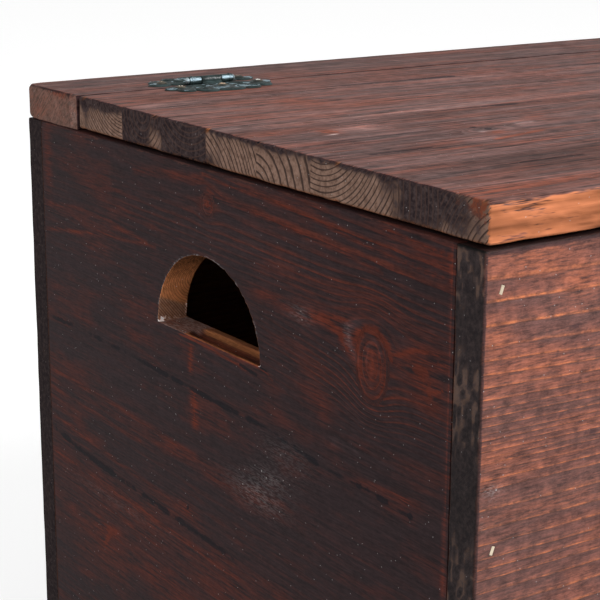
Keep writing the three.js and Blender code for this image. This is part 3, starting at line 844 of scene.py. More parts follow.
def pocket_depth(x, z, places):
    """How far the face is pressed in: full depth inside each brad head's outline, fading round it."""
    depth = np.zeros_like(x)
    for place in places:
        dx, dz = x - place[0], z - place[2]
        u = np.abs(dx * math.cos(head_lean) + dz * math.sin(head_lean)) - head_half_length
        v = np.abs(dx * math.sin(head_lean) - dz * math.cos(head_lean)) - head_half_width
        outside = np.hypot(np.maximum(u, 0), np.maximum(v, 0))
        depth = np.maximum(depth, pocket_full_depth * unit(1 - outside / pocket_slope))
    return depth


def wall_board(name, finish, heart, spacing, seed, panel, facing, marks, step, years_from=None):
    """A board of the front wall, where facing is -1, or the back wall, where it is 1. Its brads sit in
    pockets."""
    low, high = corners(name)
    wall = name.split("_")[0]
    places = [at for key, at in brad_places.items() if key.startswith(wall) and low[2] < at[2] < high[2]]
    near_x, near_z = (sorted({round(place[axis], 5) for place in places}) for axis in (0, 2))
    open_below, open_above = abs(low[2] - panel[0][2]) < 1e-5, abs(high[2] - panel[1][2]) < 1e-5
    lines = [
        ruled(low[0], high[0], step, near=near_x),
        ruled(low[1], high[1], 2.5 * mm),
        ruled(low[2], high[2], step * 0.8, open_below, open_above, near=near_z),
    ]
    points, quads = block_shell(lines)
    radius = (0.7 + 1.0 * rough(points, 12 * mm, seed)) * mm
    shaped, outward = eased(points, *panel, radius)
    on_face = unit(outward[:, 1] * facing)
    sink = pocket_depth(points[:, 0], points[:, 2], places) * on_face + 0.1 * mm * rough(points, 30 * mm, 7)
    shaped = shaped - outward * sink[:, None]
    middle = (low + high) / 2
    if years_from is None:
        _, into, across = (points - middle).T
        years = ring_count(points[:, 0], across, into, heart, spacing, 0.012, seed=seed)
    else:
        years = years_from(points)
    raw = unit(-outward[:, 1] * facing) * 0.85
    carried = carried_by(points, outward, (0, 2, 1), years, *panel, raw, marks(points), seed=seed)
    return surface(f"{name}_worn", shaped, quads, finish, carried)


def front_years(points):
    """Years read off the list of growth lines, which drift and sway a little."""
    x = (points[:, 0] - box_left) / mm
    sway = 6.0 * rough(points, (140 * mm, 1, 70 * mm), 71) - 3.0
    below_top = (box_top - points[:, 2]) / mm
    fall = 0.018 * x + 0.03 * x * spots(x * 0, below_top, [(0, 52, 1, 16, 1.0)])
    depth = below_top - np.minimum(fall, 6) - sway * unit(x / 160)
    bow = 0.55 * ((points[:, 1] - front_low[1]) / mm)
    reach = depth + bow
    listed = np.interp(reach, growth_lines, np.arange(len(growth_lines)))
    beyond = np.maximum(reach - growth_lines[-1], 0) * years_per_mm_below
    return listed + beyond


front_red_spots = [
    (25, 6, 22, 7, 0.7), (55, 20, 12, 8, 0.7), (8, 38, 7, 5, 0.5), (30, 58, 60, 7, 0.4),
    (40, 118, 40, 3, 0.4), (12, 95, 30, 8, 0.3),
]
front_dark_spots = [
    (10, 32.5, 7, 1.6, 0.7), (52, 39.5, 8, 2.2, 0.65), (48, 48.5, 22, 1.3, 0.45), (20, 74, 18, 2, 0.4),
    (50, 78, 14, 3, 0.45), (46, 87, 10, 4, 0.5), (66, 90, 6, 3, 0.6), (60, 96, 5, 2, 0.6),
    # (30, 1, 80, 1.6, 1.0), the band along the top edge, is painted shade under the lid's edge.
    (30, 1, 80, 1.6, 1.0), (20, 3, 4, 2, 0.5), (6, 48, 12, 0.8, 0.4),
]
front_dust_spots = [
    (8, 105, 5, 2.5, 0.8), (3.5, 121.5, 0.9, 0.9, 1.6), (2.5, 115.5, 0.8, 0.8, 1.2),
]
front_pale_spots = [
    (0, 68, 10, 24, 1.0), (0, 10, 10, 16, 0.8), (0, 150, 10, 30, 0.7), (0, 250, 10, 50, 0.6),
]


def front_marks(points):
    """Redness, darkness and dust on the front wall, the flecked end grain at its left edge, and a painted
    shadow under the lid's edge.
    """
    x, depth = (points[:, 0] - box_left) / mm, (box_top - points[:, 2]) / mm
    red = spots(x, depth, front_red_spots)
    dark = spots(x, depth, front_dark_spots)
    dust = spots(x, depth, front_dust_spots)
    at_end = unit(1 - x / 1.5)
    fleck = rough(points, (1, 1.8 * mm, 4.5 * mm), 77)
    pale_zone = spots(x * 0, depth, front_pale_spots)
    fleck = unit(fleck * 2.2 - 0.6)
    run_down = rough(points, (1, 3.5 * mm, 26 * mm), 78)
    dark = np.maximum(dark * (1 - at_end), at_end * (1.5 - 1.6 * pale_zone * fleck - 0.4 * run_down))
    corner = np.exp(-((x - 0.8) / 1.3) ** 2)
    dark = np.maximum(dark, corner * 0.75)
    shade = -0.10 * unit((depth - 55) / 20) + 0.05 - at_end * (0.58 - 0.5 * pale_zone * fleck)
    far_end = unit(1 - (box_right - points[:, 0]) / (1.5 * mm))
    # The right end is soaked end grain; the last term is a painted shadow of the lid's edge along the top.
    dark, shade = np.maximum(dark, 1.2 * far_end), shade - 0.45 * far_end - 0.75 * np.exp(-(depth / 1.1) ** 2)
    return red, dark, dust, 0.12 + 0.88 * at_end, shade


front_panel = (front_low, front_high)
for index, name in enumerate(numbered("front_board_")):
    step = 2.5 * mm if index == 0 else 4 * mm
    board = wall_board(
        name, front_finish, None, None, 81 + index, front_panel, -1, front_marks, step, front_years)
    dressed(board, carcass_body, "front_stain", name)


def back_marks(points):
    """End grain at the corners of the back wall has drunk the stain."""
    x = np.minimum(points[:, 0] - box_left, box_right - points[:, 0]) / mm
    none = np.zeros(len(points))
    fleck = rough(points, (1, 2.5 * mm, 7 * mm), 78)
    at_end = unit(1 - x / 1.5)
    return none, at_end * (1.25 - 0.6 * fleck), none, 0.5 + 0.5 * at_end, -0.4 * at_end


back_trunks = [((14, 52), 3.2), ((-30, 60), 2.8), ((20, 48), 3.6)]
back_panel = (back_low, back_high)
for index, name in enumerate(numbered("back_board_")):
    heart, spacing = back_trunks[index]
    board = wall_board(name, carcass_finish, heart, spacing, 91 + index, back_panel, 1, back_marks, 5 * mm)
    dressed(board, carcass_body, "carcass_stain", name)
print("brad pockets", len(brad_places))

# %% [markdown]
# ## Side walls
# The side boards run from front to back, and their ends are hidden. The top one carries the hand hole, so
# it can't be a plain block: its faces are sheets stretched between two outlines, the hole and the board,
# and the whole skin is one grid that goes round the opening like the skin of a ring.

# %% Side boards without a hole
side_red_spots = [
    (205, 18, 6, 5, 0.9), (344, 68, 8, 13, 0.9), (378, 60, 13, 8, 0.9), (386, 71, 9, 7, 0.7),
    (262, 54, 20, 3.5, 0.6), (25, 22, 5, 26, 0.6), (93, 235, 8, 3, 1.1), (181, 192, 11, 4.5, 0.8),
    (300, 93, 14, 7, 0.45), (308, 101, 6, 6, 0.4), (372, 122, 12, 5, 0.35), (150, 160, 130, 5, 0.25),
]
side_red_strokes = [
    (0.9, 0.9, 200, 2.5, 225, 5, 270, 6, 300, 8.3, 325, 12, 350, 14, 398, 17),
    (1.1, 0.7, 205, 10, 215, 13, 250, 15, 300, 18, 350, 22.5), (0.9, 1.0, 352, 3, 372, 4.5, 398, 6.5),
    (2.4, 0.7, 375, 9, 398, 11), (2.2, 0.5, 130, 12, 160, 9, 200, 5),
    (1.3, 0.9, 296, 55.5, 308, 52.5, 326, 50), (2.4, 1.0, 305, 54, 318, 57, 324, 63, 334, 68),
    (1.5, 1.0, 330, 60, 333, 54, 341, 51, 350, 52.5, 357, 58), (1.4, 0.8, 359, 59, 375, 52, 395, 50),
    (1.0, 0.7, 20, 65, 54, 60, 89, 55, 151, 50.5), (1.2, 0.55, 20, 49.5, 60, 45, 100, 46, 142, 50),
    (2.4, 0.9, 187, 97, 186, 111), (3.0, 0.9, 189, 123, 190, 140), (1.2, 0.5, 20, 153, 100, 154, 190, 158),
    (1.2, 0.5, 20, 165, 130, 168), (1.3, 0.6, 20, 183, 80, 187, 170, 193),
    (1.8, 0.5, 20, 206, 120, 209, 230, 214), (1.6, 1.0, 92, 236, 84, 247),
    (0.9, 1.1, 176, 93.2, 205, 93.8, 240, 96), (0.5, 1.2, 254, 92.5, 259, 93, 264, 95.5),
    (0.5, 0.9, 388, 68, 394, 65.5), (0.6, 0.6, 397.6, 1, 397.6, 420),
]
side_dark_strokes = [
    (2.2, 0.75, 25, 119, 60, 118, 130, 119, 200, 121, 260, 122, 300, 126.5, 340, 127.5, 375, 129.5),
    (2.4, 0.9, 20, 191, 60, 196, 100, 198, 150, 200, 230, 203.5),
]
side_thin_dark_strokes = [
    (2.2, 0.4, 20, 187, 120, 190, 165, 192), (1.2, 0.8, 235, 95, 250, 96.5),
    (0.5, 1.2, 253, 91.5, 259, 92.2),
]
side_dust_spots = [
    (250, 160, 22, 7, 0.5), (262, 148, 16, 5, 0.35), (288, 56, 9, 4, 0.25), (325, 57, 3, 6, 0.25),
    (275, 132, 20, 8, 0.2), (100, 215, 50, 3, 0.15),
]
side_lively_spots = [
    (320, 18, 110, 26, 1.0), (335, 82, 70, 14, 0.85), (344, 66, 14, 18, 0.6), (150, 34, 45, 8, 0.3),
    (205, 18, 14, 10, 0.5), (130, 225, 120, 16, 0.3), (90, 160, 90, 12, 0.2),
]
side_swirl = [
    (2.2, 1.1, 333, 63, 334, 56, 339, 51, 347, 50, 355, 54, 358, 61),
    (2.6, 1.0, 298, 55, 310, 54.5, 321, 57, 327, 63, 334, 70), (3.4, 0.8, 364, 62, 376, 56, 396, 54),
    (2.0, 0.8, 337, 64, 336, 75), (2.4, 0.8, 352, 64, 352, 76),
]
side_crescent = [
    (2.2, 1.0, 333, 49, 326, 53, 326, 59, 332, 67), (1.0, 0.7, 340, 66, 341, 58, 346, 55, 350, 60),
]
side_shade_strokes = [
    (0.7, 0.5, 312, 110.5, 336, 111.5), (0.6, 0.4, 314, 113.5, 334, 113), (0.6, 0.35, 397.6, 1, 397.6, 420),
    (1.0, 0.35, 344, 60, 344, 78),
]
side_shade_spots = [
    (288, 56, 14, 5, 0.35), (250, 30, 60, 14, 0.15), (75, 80, 50, 25, 0.06), (110, 135, 70, 10, 0.08),
]


def side_marks(points):
    """The marks on the left wall. u runs forwards from the back and v down from the top."""
    u, v = (box_back - points[:, 1]) / mm, (box_top - points[:, 2]) / mm
    level = v - 0.035 * (u - 200)
    red = spots(u, v, side_red_spots)
    red += strokes(u, v, side_red_strokes)
    red += spots(u * 0, level, [(0, 216, 1, 14, 0.35), (0, 245, 1, 12, 0.3)])
    dark = strokes(u, v, side_dark_strokes)
    dark *= 0.25 + 1.3 * rough(points, (1, 9 * mm, 30 * mm), 101)
    dark += strokes(u, v, side_thin_dark_strokes)
    dark += spots(u, v, [(181, 190, 1.1, 0.9, 3.0), (50, 232, 40, 2, 0.4), (215, 100, 20, 4, 0.3)])
    dust = spots(u, v, side_dust_spots)
    calm = 0.88 - spots(u, v, side_lively_spots)
    crescent = strokes(u, v, side_crescent)
    red = np.maximum(red, strokes(u, v, side_swirl))
    red *= 1 - 0.9 * crescent
    shade = strokes(u, v, side_shade_strokes) + 0.9 * crescent
    shade += spots(u, v, side_shade_spots)
    at_front = unit((u - 398.5) / 2)
    calm, shade = unit(calm) * (1 - at_front), shade * (1 - at_front)
    return red, dark, dust, calm, shade


def side_step(index):
    """Grid steps of a side board, finer on the boards that the photograph shows."""
    return (2.5 * mm, 2.6 * mm, 1.8 * mm) if index < 3 else (4 * mm, 5 * mm, 5 * mm)


hidden = 20 * mm
side_boxes = {
    "left": (left_low - np.array([0, hidden, 0]), left_high + np.array([0, hidden, 0]), (1, 0, 0)),
    "right": (right_low - np.array([0, hidden, 0]), right_high + np.array([0, hidden, 0]), (-1, 0, 0)),
}
side_trunks = {
    "left": [((-20, 46), 3.4, 0.045), ((26, 50), 3.0, 0.03), ((-16, 40), 3.2, 0.05), ((10, 60), 3.4, 0.01)],
    "right": [((18, -44), 3.3, -0.03), ((-22, -50), 3.1, 0.02), ((12, -46), 3.4, -0.02)],
}
for side, (*ease_box, inward) in side_boxes.items():
    for index, name in enumerate(numbered(f"{side}_board_")):
        if index == 0:
            continue
        heart, spacing, drift = side_trunks[side][index]
        step, marks = side_step(index), side_marks if side == "left" else unmarked
        board = plank(
            name, carcass_finish, ALONG_Y, heart, spacing, drift, step, ease_box, inward, marks, 110 + index)
        dressed(board, carcass_body, "carcass_stain", name)

# %% [markdown]
# ## The hand hole
# The hole is a half ellipse on a flat sill, sawn after the first coat, so its wall is bare and its rim is
# frayed. A round trough was hollowed along the sill for the fingers, and it stops in a ball end before the
# back. Rays from a point inside the hole meet both outlines, and the grid runs along them.

# %% Boards with a hand hole
hole_middle, hole_half = 6 * mm, 50 * mm
groove_stop = 26 * mm
sill_height, arch_height = 308.5 * mm, 45.5 * mm
saw_radius = 0.3 * mm
groove_from_face, groove_half, groove_depth = 1.6 * mm, 6.2 * mm, 3.4 * mm
groove_radius = (groove_half ** 2 + groove_depth ** 2) / (2 * groove_depth)
groove_end = hole_middle + hole_half - groove_stop - groove_half
ray_start = np.array([hole_middle, sill_height + 14 * mm])


def ray_to_board(directions, low, high):
    """Where rays from inside the hole meet the board's rectangle."""
    with np.errstate(divide="ignore"):
        reaches = np.where(directions > 0, high[1:] - ray_start, low[1:] - ray_start) / directions
    reach = np.where(np.isfinite(reaches), reaches, 9).min(axis=1)
    return ray_start + directions * reach[:, None]


def ray_to_hole(directions):
    """Where the same rays meet the hole's outline: the sill below, the half ellipse above."""
    to_sill = (sill_height - ray_start[1]) / np.minimum(directions[:, 1], -1e-6)
    sill_point = ray_start + directions * to_sill[:, None]
    on_sill = (directions[:, 1] < 0) & (np.abs(sill_point[:, 0] - hole_middle) <= hole_half)
    rise = ray_start[1] - sill_height
    a = (directions[:, 0] / hole_half) ** 2 + (directions[:, 1] / arch_height) ** 2
    b = 2 * directions[:, 1] * rise / arch_height ** 2
    c = (rise / arch_height) ** 2 - 1
    to_arch = (-b + np.sqrt(b * b - 4 * a * c)) / (2 * a)
    arch_point = ray_start + directions * to_arch[:, None]
    outline = np.where(on_sill[:, None], sill_point, arch_point)
    normal = (outline - (hole_middle, sill_height)) / (hole_half ** 2, arch_height ** 2)
    normal /= np.linalg.norm(normal, axis=1)[:, None]
    normal = np.where(on_sill[:, None], np.array([0.0, -1.0]), normal)
    return outline, normal, on_sill


# Depths of the growth lines below the top edge at 300 mm from the back, and knots: middle, half sizes, rings.
side_lines = np.array([
    -12, -4, 2.5, 8.3, 18, 24.5, 29.5, 34, 37.5, 40.8, 44, 47.5, 53, 59, 64, 67.5, 71, 74, 77, 80, 83, 86, 89,
    92.5, 96.5, 101, 107, 114, 121, 128, 136,
])
left_knots = [(344, 67, 12, 18, 4.0), (205, 18, 6, 7, 2.0)]
knot_first_year = 40.35


def left_years(points):
    """Years read off the list of growth lines at the depth below the top, along their slope. Round a knot
    the lines are spread apart, and inside it the count is its own: rings times the share of the way out to
    its edge."""
    u, v = (box_back - points[:, 1]) / mm, (box_top - points[:, 2]) / mm
    steep = np.interp(v, [0, 48, 62, 90, 120], [0.075, 0.02, 0.13, 0.10, 0.035])
    forward = np.clip(u, 200, np.interp(v, [48, 60], [400, 340])) - 300 + 0.4 * np.minimum(u - 200, 0)
    depth = v - steep * forward + 2.4 * rough(points, (1, 70 * mm, 30 * mm), 142) - 1.2
    depth += 0.5 * np.abs(points[:, 0] - box_left) / mm
    for at_u, at_v, half_u, half_v, _ in left_knots:
        depth -= 0.8 * (v - at_v) * spots(u, v, [(at_u, at_v, 1.5 * half_u, 1.3 * half_v, 1.0)])
    years = np.interp(depth, side_lines, np.arange(len(side_lines)))
    for at_u, at_v, half_u, half_v, rings in left_knots:
        out = np.hypot((u - at_u) / half_u, (v - at_v) / half_v)
        years = np.where(out < 1, rings * out + knot_first_year, years)
    return years


def holed_board(name, outer_x, inner_x, years_of, marks, seed):
    """The skin of a board with a hand hole, as rings of points: out over the outer face from the hole,
    across the board's edge, back over the inner face, and through the hole's wall to the start."""
    low, high = corners(name)
    inward = np.sign(inner_x - outer_x)
    thickness = abs(inner_x - outer_x)
    even = np.linspace(0, 2 * np.pi, 490, endpoint=False)
    turns = even - 0.3 * np.sin(2 * even)
    rectangle = [(low[1], low[2]), (high[1], low[2]), (high[1], high[2]), (low[1], high[2])]
    hole_corners = [(hole_middle - hole_half, sill_height), (hole_middle + hole_half, sill_height),
                    (groove_end, sill_height), (groove_end + groove_half, sill_height)]
    sharp = rectangle + hole_corners
    special = [math.atan2(z - ray_start[1], y - ray_start[0]) % (2 * np.pi) for y, z in sharp]
    spare = np.min(np.abs(turns[:, None] - np.array(special)[None, :]), axis=1) > 0.004
    turns = np.sort(np.concatenate([turns[spare], special]))
    directions = np.stack([np.cos(turns), np.sin(turns)], axis=1)
    rim, normal, on_sill = ray_to_hole(directions)
    wobble = rough(np.stack([rim[:, 0], rim[:, 1], rim[:, 0] * 0], 1), 4 * mm, seed) - 0.5
    torn = rough(np.stack([rim[:, 0], rim[:, 1], rim[:, 0] * 0], 1), 1.3 * mm, seed + 1)
    radius = saw_radius * (0.5 + 1.2 * torn)
    ragged = unit((hole_middle - rim[:, 0]) / (20 * mm)) * (torn - 0.5) * 0.7
    rim = rim + normal * ((0.35 * wobble + ragged) * mm * ~on_sill)[:, None]
    edge = ray_to_board(directions, low, high)
    edge[:, 0] = np.clip(edge[:, 0], low[1], high[1])
    edge[:, 1] = np.clip(edge[:, 1], low[2], high[2])

    rings, wall = [], []

    def add_ring(outline, x, on_wall):
        rings.append(np.column_stack([np.broadcast_to(x, len(outline)), outline[:, 0], outline[:, 1]]))
        wall.append(np.full(len(outline), on_wall, dtype=float))

    def face_rings(face_x, outwards, count):
        """Rings over one face, between the rounded rim and the board's edge."""
        start = rim + normal * radius[:, None]
        span = np.linalg.norm(edge - start, axis=1)
        near = np.array([0.0, 0.35, 0.8, 1.4, 2.2, 3.4]) * mm
        far = np.linspace(0, 1, count)[1:]
        edges = arris_lines[::-1]
        reaches = [np.minimum(value, span * 0.3) for value in near]
        reaches += [near[-1] + (span - near[-1] - edges[0]) * share for share in far]
        reaches += [span - value for value in edges[1:]] + [span]
        ordered = reaches if outwards else reaches[::-1]
        for reach in ordered:
            add_ring(start + (edge - start) * (reach / span)[:, None], face_x, 0.0)

    quarter = np.linspace(0, np.pi / 2, 7)
    face_rings(outer_x, True, 92)
    for offset in ruled(0, thickness, 2.5 * mm)[1:-1]:
        add_ring(edge, outer_x + inward * offset, 0.0)
    face_rings(inner_x, False, 24)
    for angle in quarter[1:]:
        x = inner_x - inward * radius * (1 - np.cos(angle))
        add_ring(rim + normal * (radius * (1 - np.sin(angle)))[:, None], x, 1.0)
    for share in np.linspace(0, 1, 26)[1:-1]:
        x = (inner_x - inward * radius) * (1 - share) + (outer_x + inward * radius) * share
        add_ring(rim, x, 1.0)
    for angle in quarter[::-1][:-1]:
        x = outer_x + inward * radius * (1 - np.cos(angle))
        add_ring(rim + normal * (radius * (1 - np.sin(angle)))[:, None], x, 1.0)

    skin = np.stack(rings)
    across = np.abs(skin[..., 0] - outer_x) - groove_from_face - groove_half
    beyond = np.maximum(skin[..., 1] - groove_end, 0)
    ball = np.sqrt(np.maximum(groove_radius ** 2 - across ** 2 - beyond ** 2, 0))
    groove = np.maximum(ball - groove_radius + groove_depth, 0) * np.stack(wall) * on_sill
    skin[..., 2] -= groove
    on_wall = np.stack(wall).ravel()
    ring_total, turn_total = skin.shape[:2]
    quads = woven(np.arange(ring_total * turn_total).reshape(ring_total, turn_total), 0, 1)
    quads = quads if inward > 0 else quads[:, ::-1]
    points = skin.reshape(-1, 3)

    ease_low, ease_high, _ = side_boxes[name.split("_")[0]]
    arris_radius = (0.6 + 0.9 * rough(points, 10 * mm, seed + 2)) * mm
    shaped, outward = eased(points, ease_low, ease_high, arris_radius)
    shaped = np.where(on_wall[:, None] > 0, points, shaped)
    deep = np.abs(points[:, 0] - outer_x) / mm
    lift = (points[:, 2] - sill_height) / mm
    sill = on_wall * np.tile(on_sill, ring_total)
    arch = on_wall - sill
    low_arch = arch * unit((15 - 0.4 * deep - lift) / 2.0)
    saw_lines, saw_arcs = (0.75 * deep + 0.65 * lift) / 1.2, np.hypot(deep - 23, lift - 25) / 1.45
    scratches = np.where(low_arch > 0.5, saw_lines, saw_arcs)
    years = np.where(arch > 0, scratches, years_of(points))

    from_rim = np.linalg.norm(points[:, 1:] - np.tile(rim, (ring_total, 1)), axis=1)
    frayed = unit(1.3 - from_rim / ((0.25 + 1.3 * rough(points, 1.5 * mm, seed + 3)) * mm)) * (1 - on_wall)
    frayed *= (rough(points, (9, 4 * mm, 4 * mm), seed + 4) > 0.45) * np.tile(~on_sill, ring_total)
    inside = np.abs(points[:, 0] - inner_x) < 0.1 * mm
    hollowed = unit(groove.ravel() / (0.4 * mm))
    far_flank = unit((deep - 11.2) / 1.2)
    beside_groove = unit((groove_end + groove_half - points[:, 1]) / (4 * mm))
    sill_raw = (0.12 + 0.4 * beside_groove) * (1 - hollowed) + hollowed * (0.12 + 0.8 * far_flank)
    raw = np.maximum.reduce([arch * (1 - 0.65 * low_arch), sill * sill_raw, inside * 0.85])
    red, dark, dust, calm, shade = marks(points)
    splinters = rough(points, (1.6 * mm, 1, 1.2 * mm), seed + 6) > 0.4
    corner = arch * (lift < 2.4) * splinters * (deep < 5) * 5.0 + arch * (lift < 1.4) * splinters * 1.2
    inner_corner = arch * (deep > 17) * (lift < 9) * splinters * 2.5
    on_cut = on_wall > 0
    # This darkening of the groove's bottom and of the arch's top is painted shade.
    painted_cut_shade = sill * hollowed * (1 - far_flank) * 0.3 + arch * np.clip((lift - 24) / 16, 0, 0.8)
    dark = np.where(on_cut, painted_cut_shade, dark)
    in_hole = np.abs(points[:, 1] - hole_middle) < hole_half
    lip = spots(deep, lift, [(0, 0, 1, 1, 1.0)]) * beside_groove * in_hole
    red = np.where(on_cut, sill * beside_groove * (0.3 + 0.5 * hollowed), red) + lip
    dust = np.where(on_cut, corner + inner_corner + sill * 0.3 * (1 - beside_groove), dust + 1.3 * frayed)
    calm = np.where(on_cut, sill * 0.8, calm)
    # The last term of sill_shade darkens the groove's bottom as painted shade.
    sill_shade = 1.1 * (1 - beside_groove) - 0.1 * beside_groove - 0.1 * hollowed * (1 - far_flank)
    # arch_shade is painted light on a band across the middle of the arch wall and painted shade towards its
    # top.
    arch_shade = 0.9 * (1 - low_arch) * np.clip(1.3 - np.abs(lift - 17) / 16, -0.4, 1) + 0.5 * low_arch
    arch_shade += 2.2 * unit(corner / 5 + inner_corner / 2.5)
    shade = np.where(on_cut, arch * arch_shade + sill * sill_shade, shade)
    shade += 0.5 * lip
    moods = (red, dark, dust, calm, shade)
    carried = carried_by(points, outward, ALONG_Y, years, ease_low, ease_high, raw, moods, seed=seed)
    side_wall = on_wall * np.tile(normal[:, 0] ** 2, ring_total)
    carried["skin"][:, 0] = np.where(on_wall > 0, side_wall, 0)
    carried["skin"][:, 1] = np.where(on_wall > 0, 0, carried["skin"][:, 1])
    return surface(f"{name}_worn", shaped, quads, carcass_finish, carried)


def right_marks(points):
    """The right wall has a few streaks of its own."""
    u, v = (points[:, 1] - box_front) / mm, (box_top - points[:, 2]) / mm
    red = spots(u, v, [(90, 30, 40, 4, 0.7), (300, 70, 30, 6, 0.8), (150, 90, 50, 4, 0.4)])
    dark = spots(u * 0, v, [(0, 127, 1, 3, 0.8)]) * (0.4 + 0.8 * rough(points, (1, 18 * mm, 30 * mm), 131))
    calm = 0.75 - spots(u, v, [(120, 40, 80, 30, 0.7), (320, 90, 60, 20, 0.5)])
    return red, dark, spots(u, v, [(210, 140, 24, 8, 0.4)]), unit(calm), u * 0


right_knots = [(0.11, 0.02, 0.012, 0.010, 2.6), (-0.12, -0.03, 0.010, 0.008, 2.0)]


def right_years(points):
    """Years from a trunk of its own for the right board with the hole."""
    low, high = corners("right_board_1")
    x, y, z = (points - (low + high) / 2).T
    return ring_count(y, z, x, (16, -40), 3.3, -0.03, right_knots, 151)


left_hole_board = holed_board("left_board_1", box_left, left_high[0], left_years, side_marks, 141)
dressed(left_hole_board, carcass_body, "carcass_stain", "left_board_1")
right_hole_board = holed_board("right_board_1", box_right, right_low[0], right_years, right_marks, 151)
dressed(right_hole_board, carcass_body, "carcass_stain", "right_board_1")
print("hand hole boards", len(left_hole_board.data.polygons), "faces each")

# %% [markdown]
# ## Floor and cleats
# Nobody sees them in the photograph, but the lid opens. They are bare softwood: a thin floor on two cleats.

# %% Floor and cleats
bare_planks = {
    "floor_panel": (ALONG_X, (-40, -120), 3.4, (8 * mm, 4 * mm, 3 * mm)),
    "left_cleat": (ALONG_Y, (0, -30), 2.6, (4 * mm, 6 * mm, 4 * mm)),
    "right_cleat": (ALONG_Y, (3, -24), 2.4, (4 * mm, 6 * mm, 4 * mm)),
}
for seed, (node, (axes, heart, spacing, step)) in enumerate(bare_planks.items(), start=161):
    piece = plank(node, bare_wood, axes, heart, spacing, 0.01, step, corners(node), seed=seed)
    dressed(piece, carcass_body, "bare_wood", node)

# %% [markdown]
# ## Metal finishes
# The hinges are thin cast iron, lacquered a dark green black and rubbed bright on every raised line. Bright
# patches on the lobes, a band along each knuckle and the middle of each screw head are painted highlights.
# The mesh says how far each point is rubbed or painted bright and how deep it lies. Screws are pale brass,
# and pins and brads are steel.

# %% Metal recipe


def aged_metal(name, **colours_and_shares):
    """Metal in two states, coated and rubbed bright; the bright state also carries painted highlights. The
    mesh carries "wear" (rubbed or painted bright, hollow, tinted).
    """
    look = SimpleNamespace(**colours_and_shares)
    material, tree, shader = new_material(name, look.shine)
    rubbed, hollow, tinted = three_of(tree, "wear")
    place = flow_of(tree, "ShaderNodeTexCoord", {}, "Object")
    grain = noise_of(place, 900.0, 4, 0.65)
    patch = noise_of(place, 160.0, 3)
    scratch = noise_of(stretched(parts_of(place), (400, 2400, 2400)), 1.0, 2)
    bright = ease((patch - 0.5) * 0.8 + ((grain - 0.5) * 0.9 + rubbed), 0.35, 0.75)
    coat = mixed(ease(patch, 0.35, 0.7), look.coat, look.coat_pale)
    coat = mixed(clamped(hollow * 0.85), coat, look.grime)
    metal = mixed(ease(scratch, 0.3, 0.7), look.metal, look.metal_dark)
    metal = mixed(tinted, metal, look.tint)
    feed(shader.inputs["Base Color"], mixed(bright, coat, metal))
    feed(shader.inputs["Metallic"], bright * look.metallic)
    dull = grain * 0.25 + look.coat_roughness
    polish = scratch * 0.2 + look.metal_roughness
    feed(shader.inputs["Roughness"], flow_of(tree, "ShaderNodeMix", {0: bright, 2: dull, 3: polish}))
    feed(shader.inputs["Normal"], bumped(patch * 0.6 + grain, 0.35, 0.2 * mm))
    return material


iron = aged_metal(
    "hinge_iron", coat=(0.010, 0.017, 0.016), coat_pale=(0.032, 0.050, 0.050), grime=(0.006, 0.008, 0.008),
    metal=(0.24, 0.32, 0.36), metal_dark=(0.11, 0.15, 0.17), tint=(0.26, 0.235, 0.23), shine=0.12,
    metallic=0.8, coat_roughness=0.45, metal_roughness=0.4,
)
steel = aged_metal(
    "pin_steel", coat=(0.05, 0.065, 0.07), coat_pale=(0.12, 0.15, 0.16), grime=(0.01, 0.01, 0.01),
    metal=(0.40, 0.48, 0.51), metal_dark=(0.20, 0.25, 0.27), tint=(0.4, 0.4, 0.4), shine=0.2,
    metallic=0.9, coat_roughness=0.4, metal_roughness=0.32,
)
brass = aged_metal(
    "screw_brass", coat=(0.020, 0.022, 0.018), coat_pale=(0.09, 0.075, 0.055), grime=(0.015, 0.012, 0.010),
    metal=(0.62, 0.45, 0.31), metal_dark=(0.42, 0.29, 0.19), tint=(0.85, 0.84, 0.80), shine=0.2,
    metallic=0.6, coat_roughness=0.5, metal_roughness=0.4,
)
brad_finish = aged_metal(
    "brad_steel", coat=(0.40, 0.33, 0.24), coat_pale=(0.56, 0.47, 0.35), grime=(0.2, 0.16, 0.12),
    metal=(0.62, 0.54, 0.42), metal_dark=(0.45, 0.38, 0.28), tint=(0.5, 0.45, 0.38), shine=0.3,
    metallic=1.0, coat_roughness=0.6, metal_roughness=0.5,
)
for name in brad_names:
    brad = frame["nodes"][name]
    brad.data.materials.clear()
    brad.data.materials.append(brad_finish)
print("metals", iron.name, steel.name, brass.name, brad_finish.name)

# %% [markdown]
# ## A leaf's outline
# Each leaf is a symmetrical spray with notches between its lobes and six tear drops pierced through it. One
# half of the outline is a chain of curves, given as shares of the half span and of the reach, and the other
# half mirrors it.

# %% Leaf outline and piercings
leaf_low, leaf_high = corners("left_hinge_rail_leaf")
hinge_y, hinge_z = hinge_line.y, hinge_line.z
half_span = (leaf_high[0] - leaf_low[0]) / 2 / mm
leaf_reach = (leaf_high[1] - hinge_y) / mm
leaf_thickness = 1.3
barrel_half, barrel_radius, pin_bore = 15.2, 2.4, 1.4
bead_radius = 0.6
middle_knuckle, knuckle_gap = 6.7, 0.3
leaf_edge = barrel_radius + 0.5
leaf_curves = [
    [0.56, 0.14, 0.62, 0.21],
    [0.74, 0.05, 0.88, 0.17],
    [0.97, 0.23, 1.00, 0.33],
    [0.96, 0.44, 0.84, 0.47],
    [0.92, 0.66, 0.76, 0.77],
    [0.64, 0.82, 0.59, 0.68],
    [0.56, 0.93, 0.38, 0.97],
    [0.26, 0.96, 0.25, 0.83],
    [0.20, 1.00, 0.00, 1.00],
]
tear_drops = [
    (0.39, 0.45, 0.085, 0.21, -0.9),
    (0.47, 0.73, 0.062, 0.18, -0.5),
    (0.18, 0.75, 0.052, 0.15, 0.35),
]
leaf_size = np.array([half_span, leaf_reach])


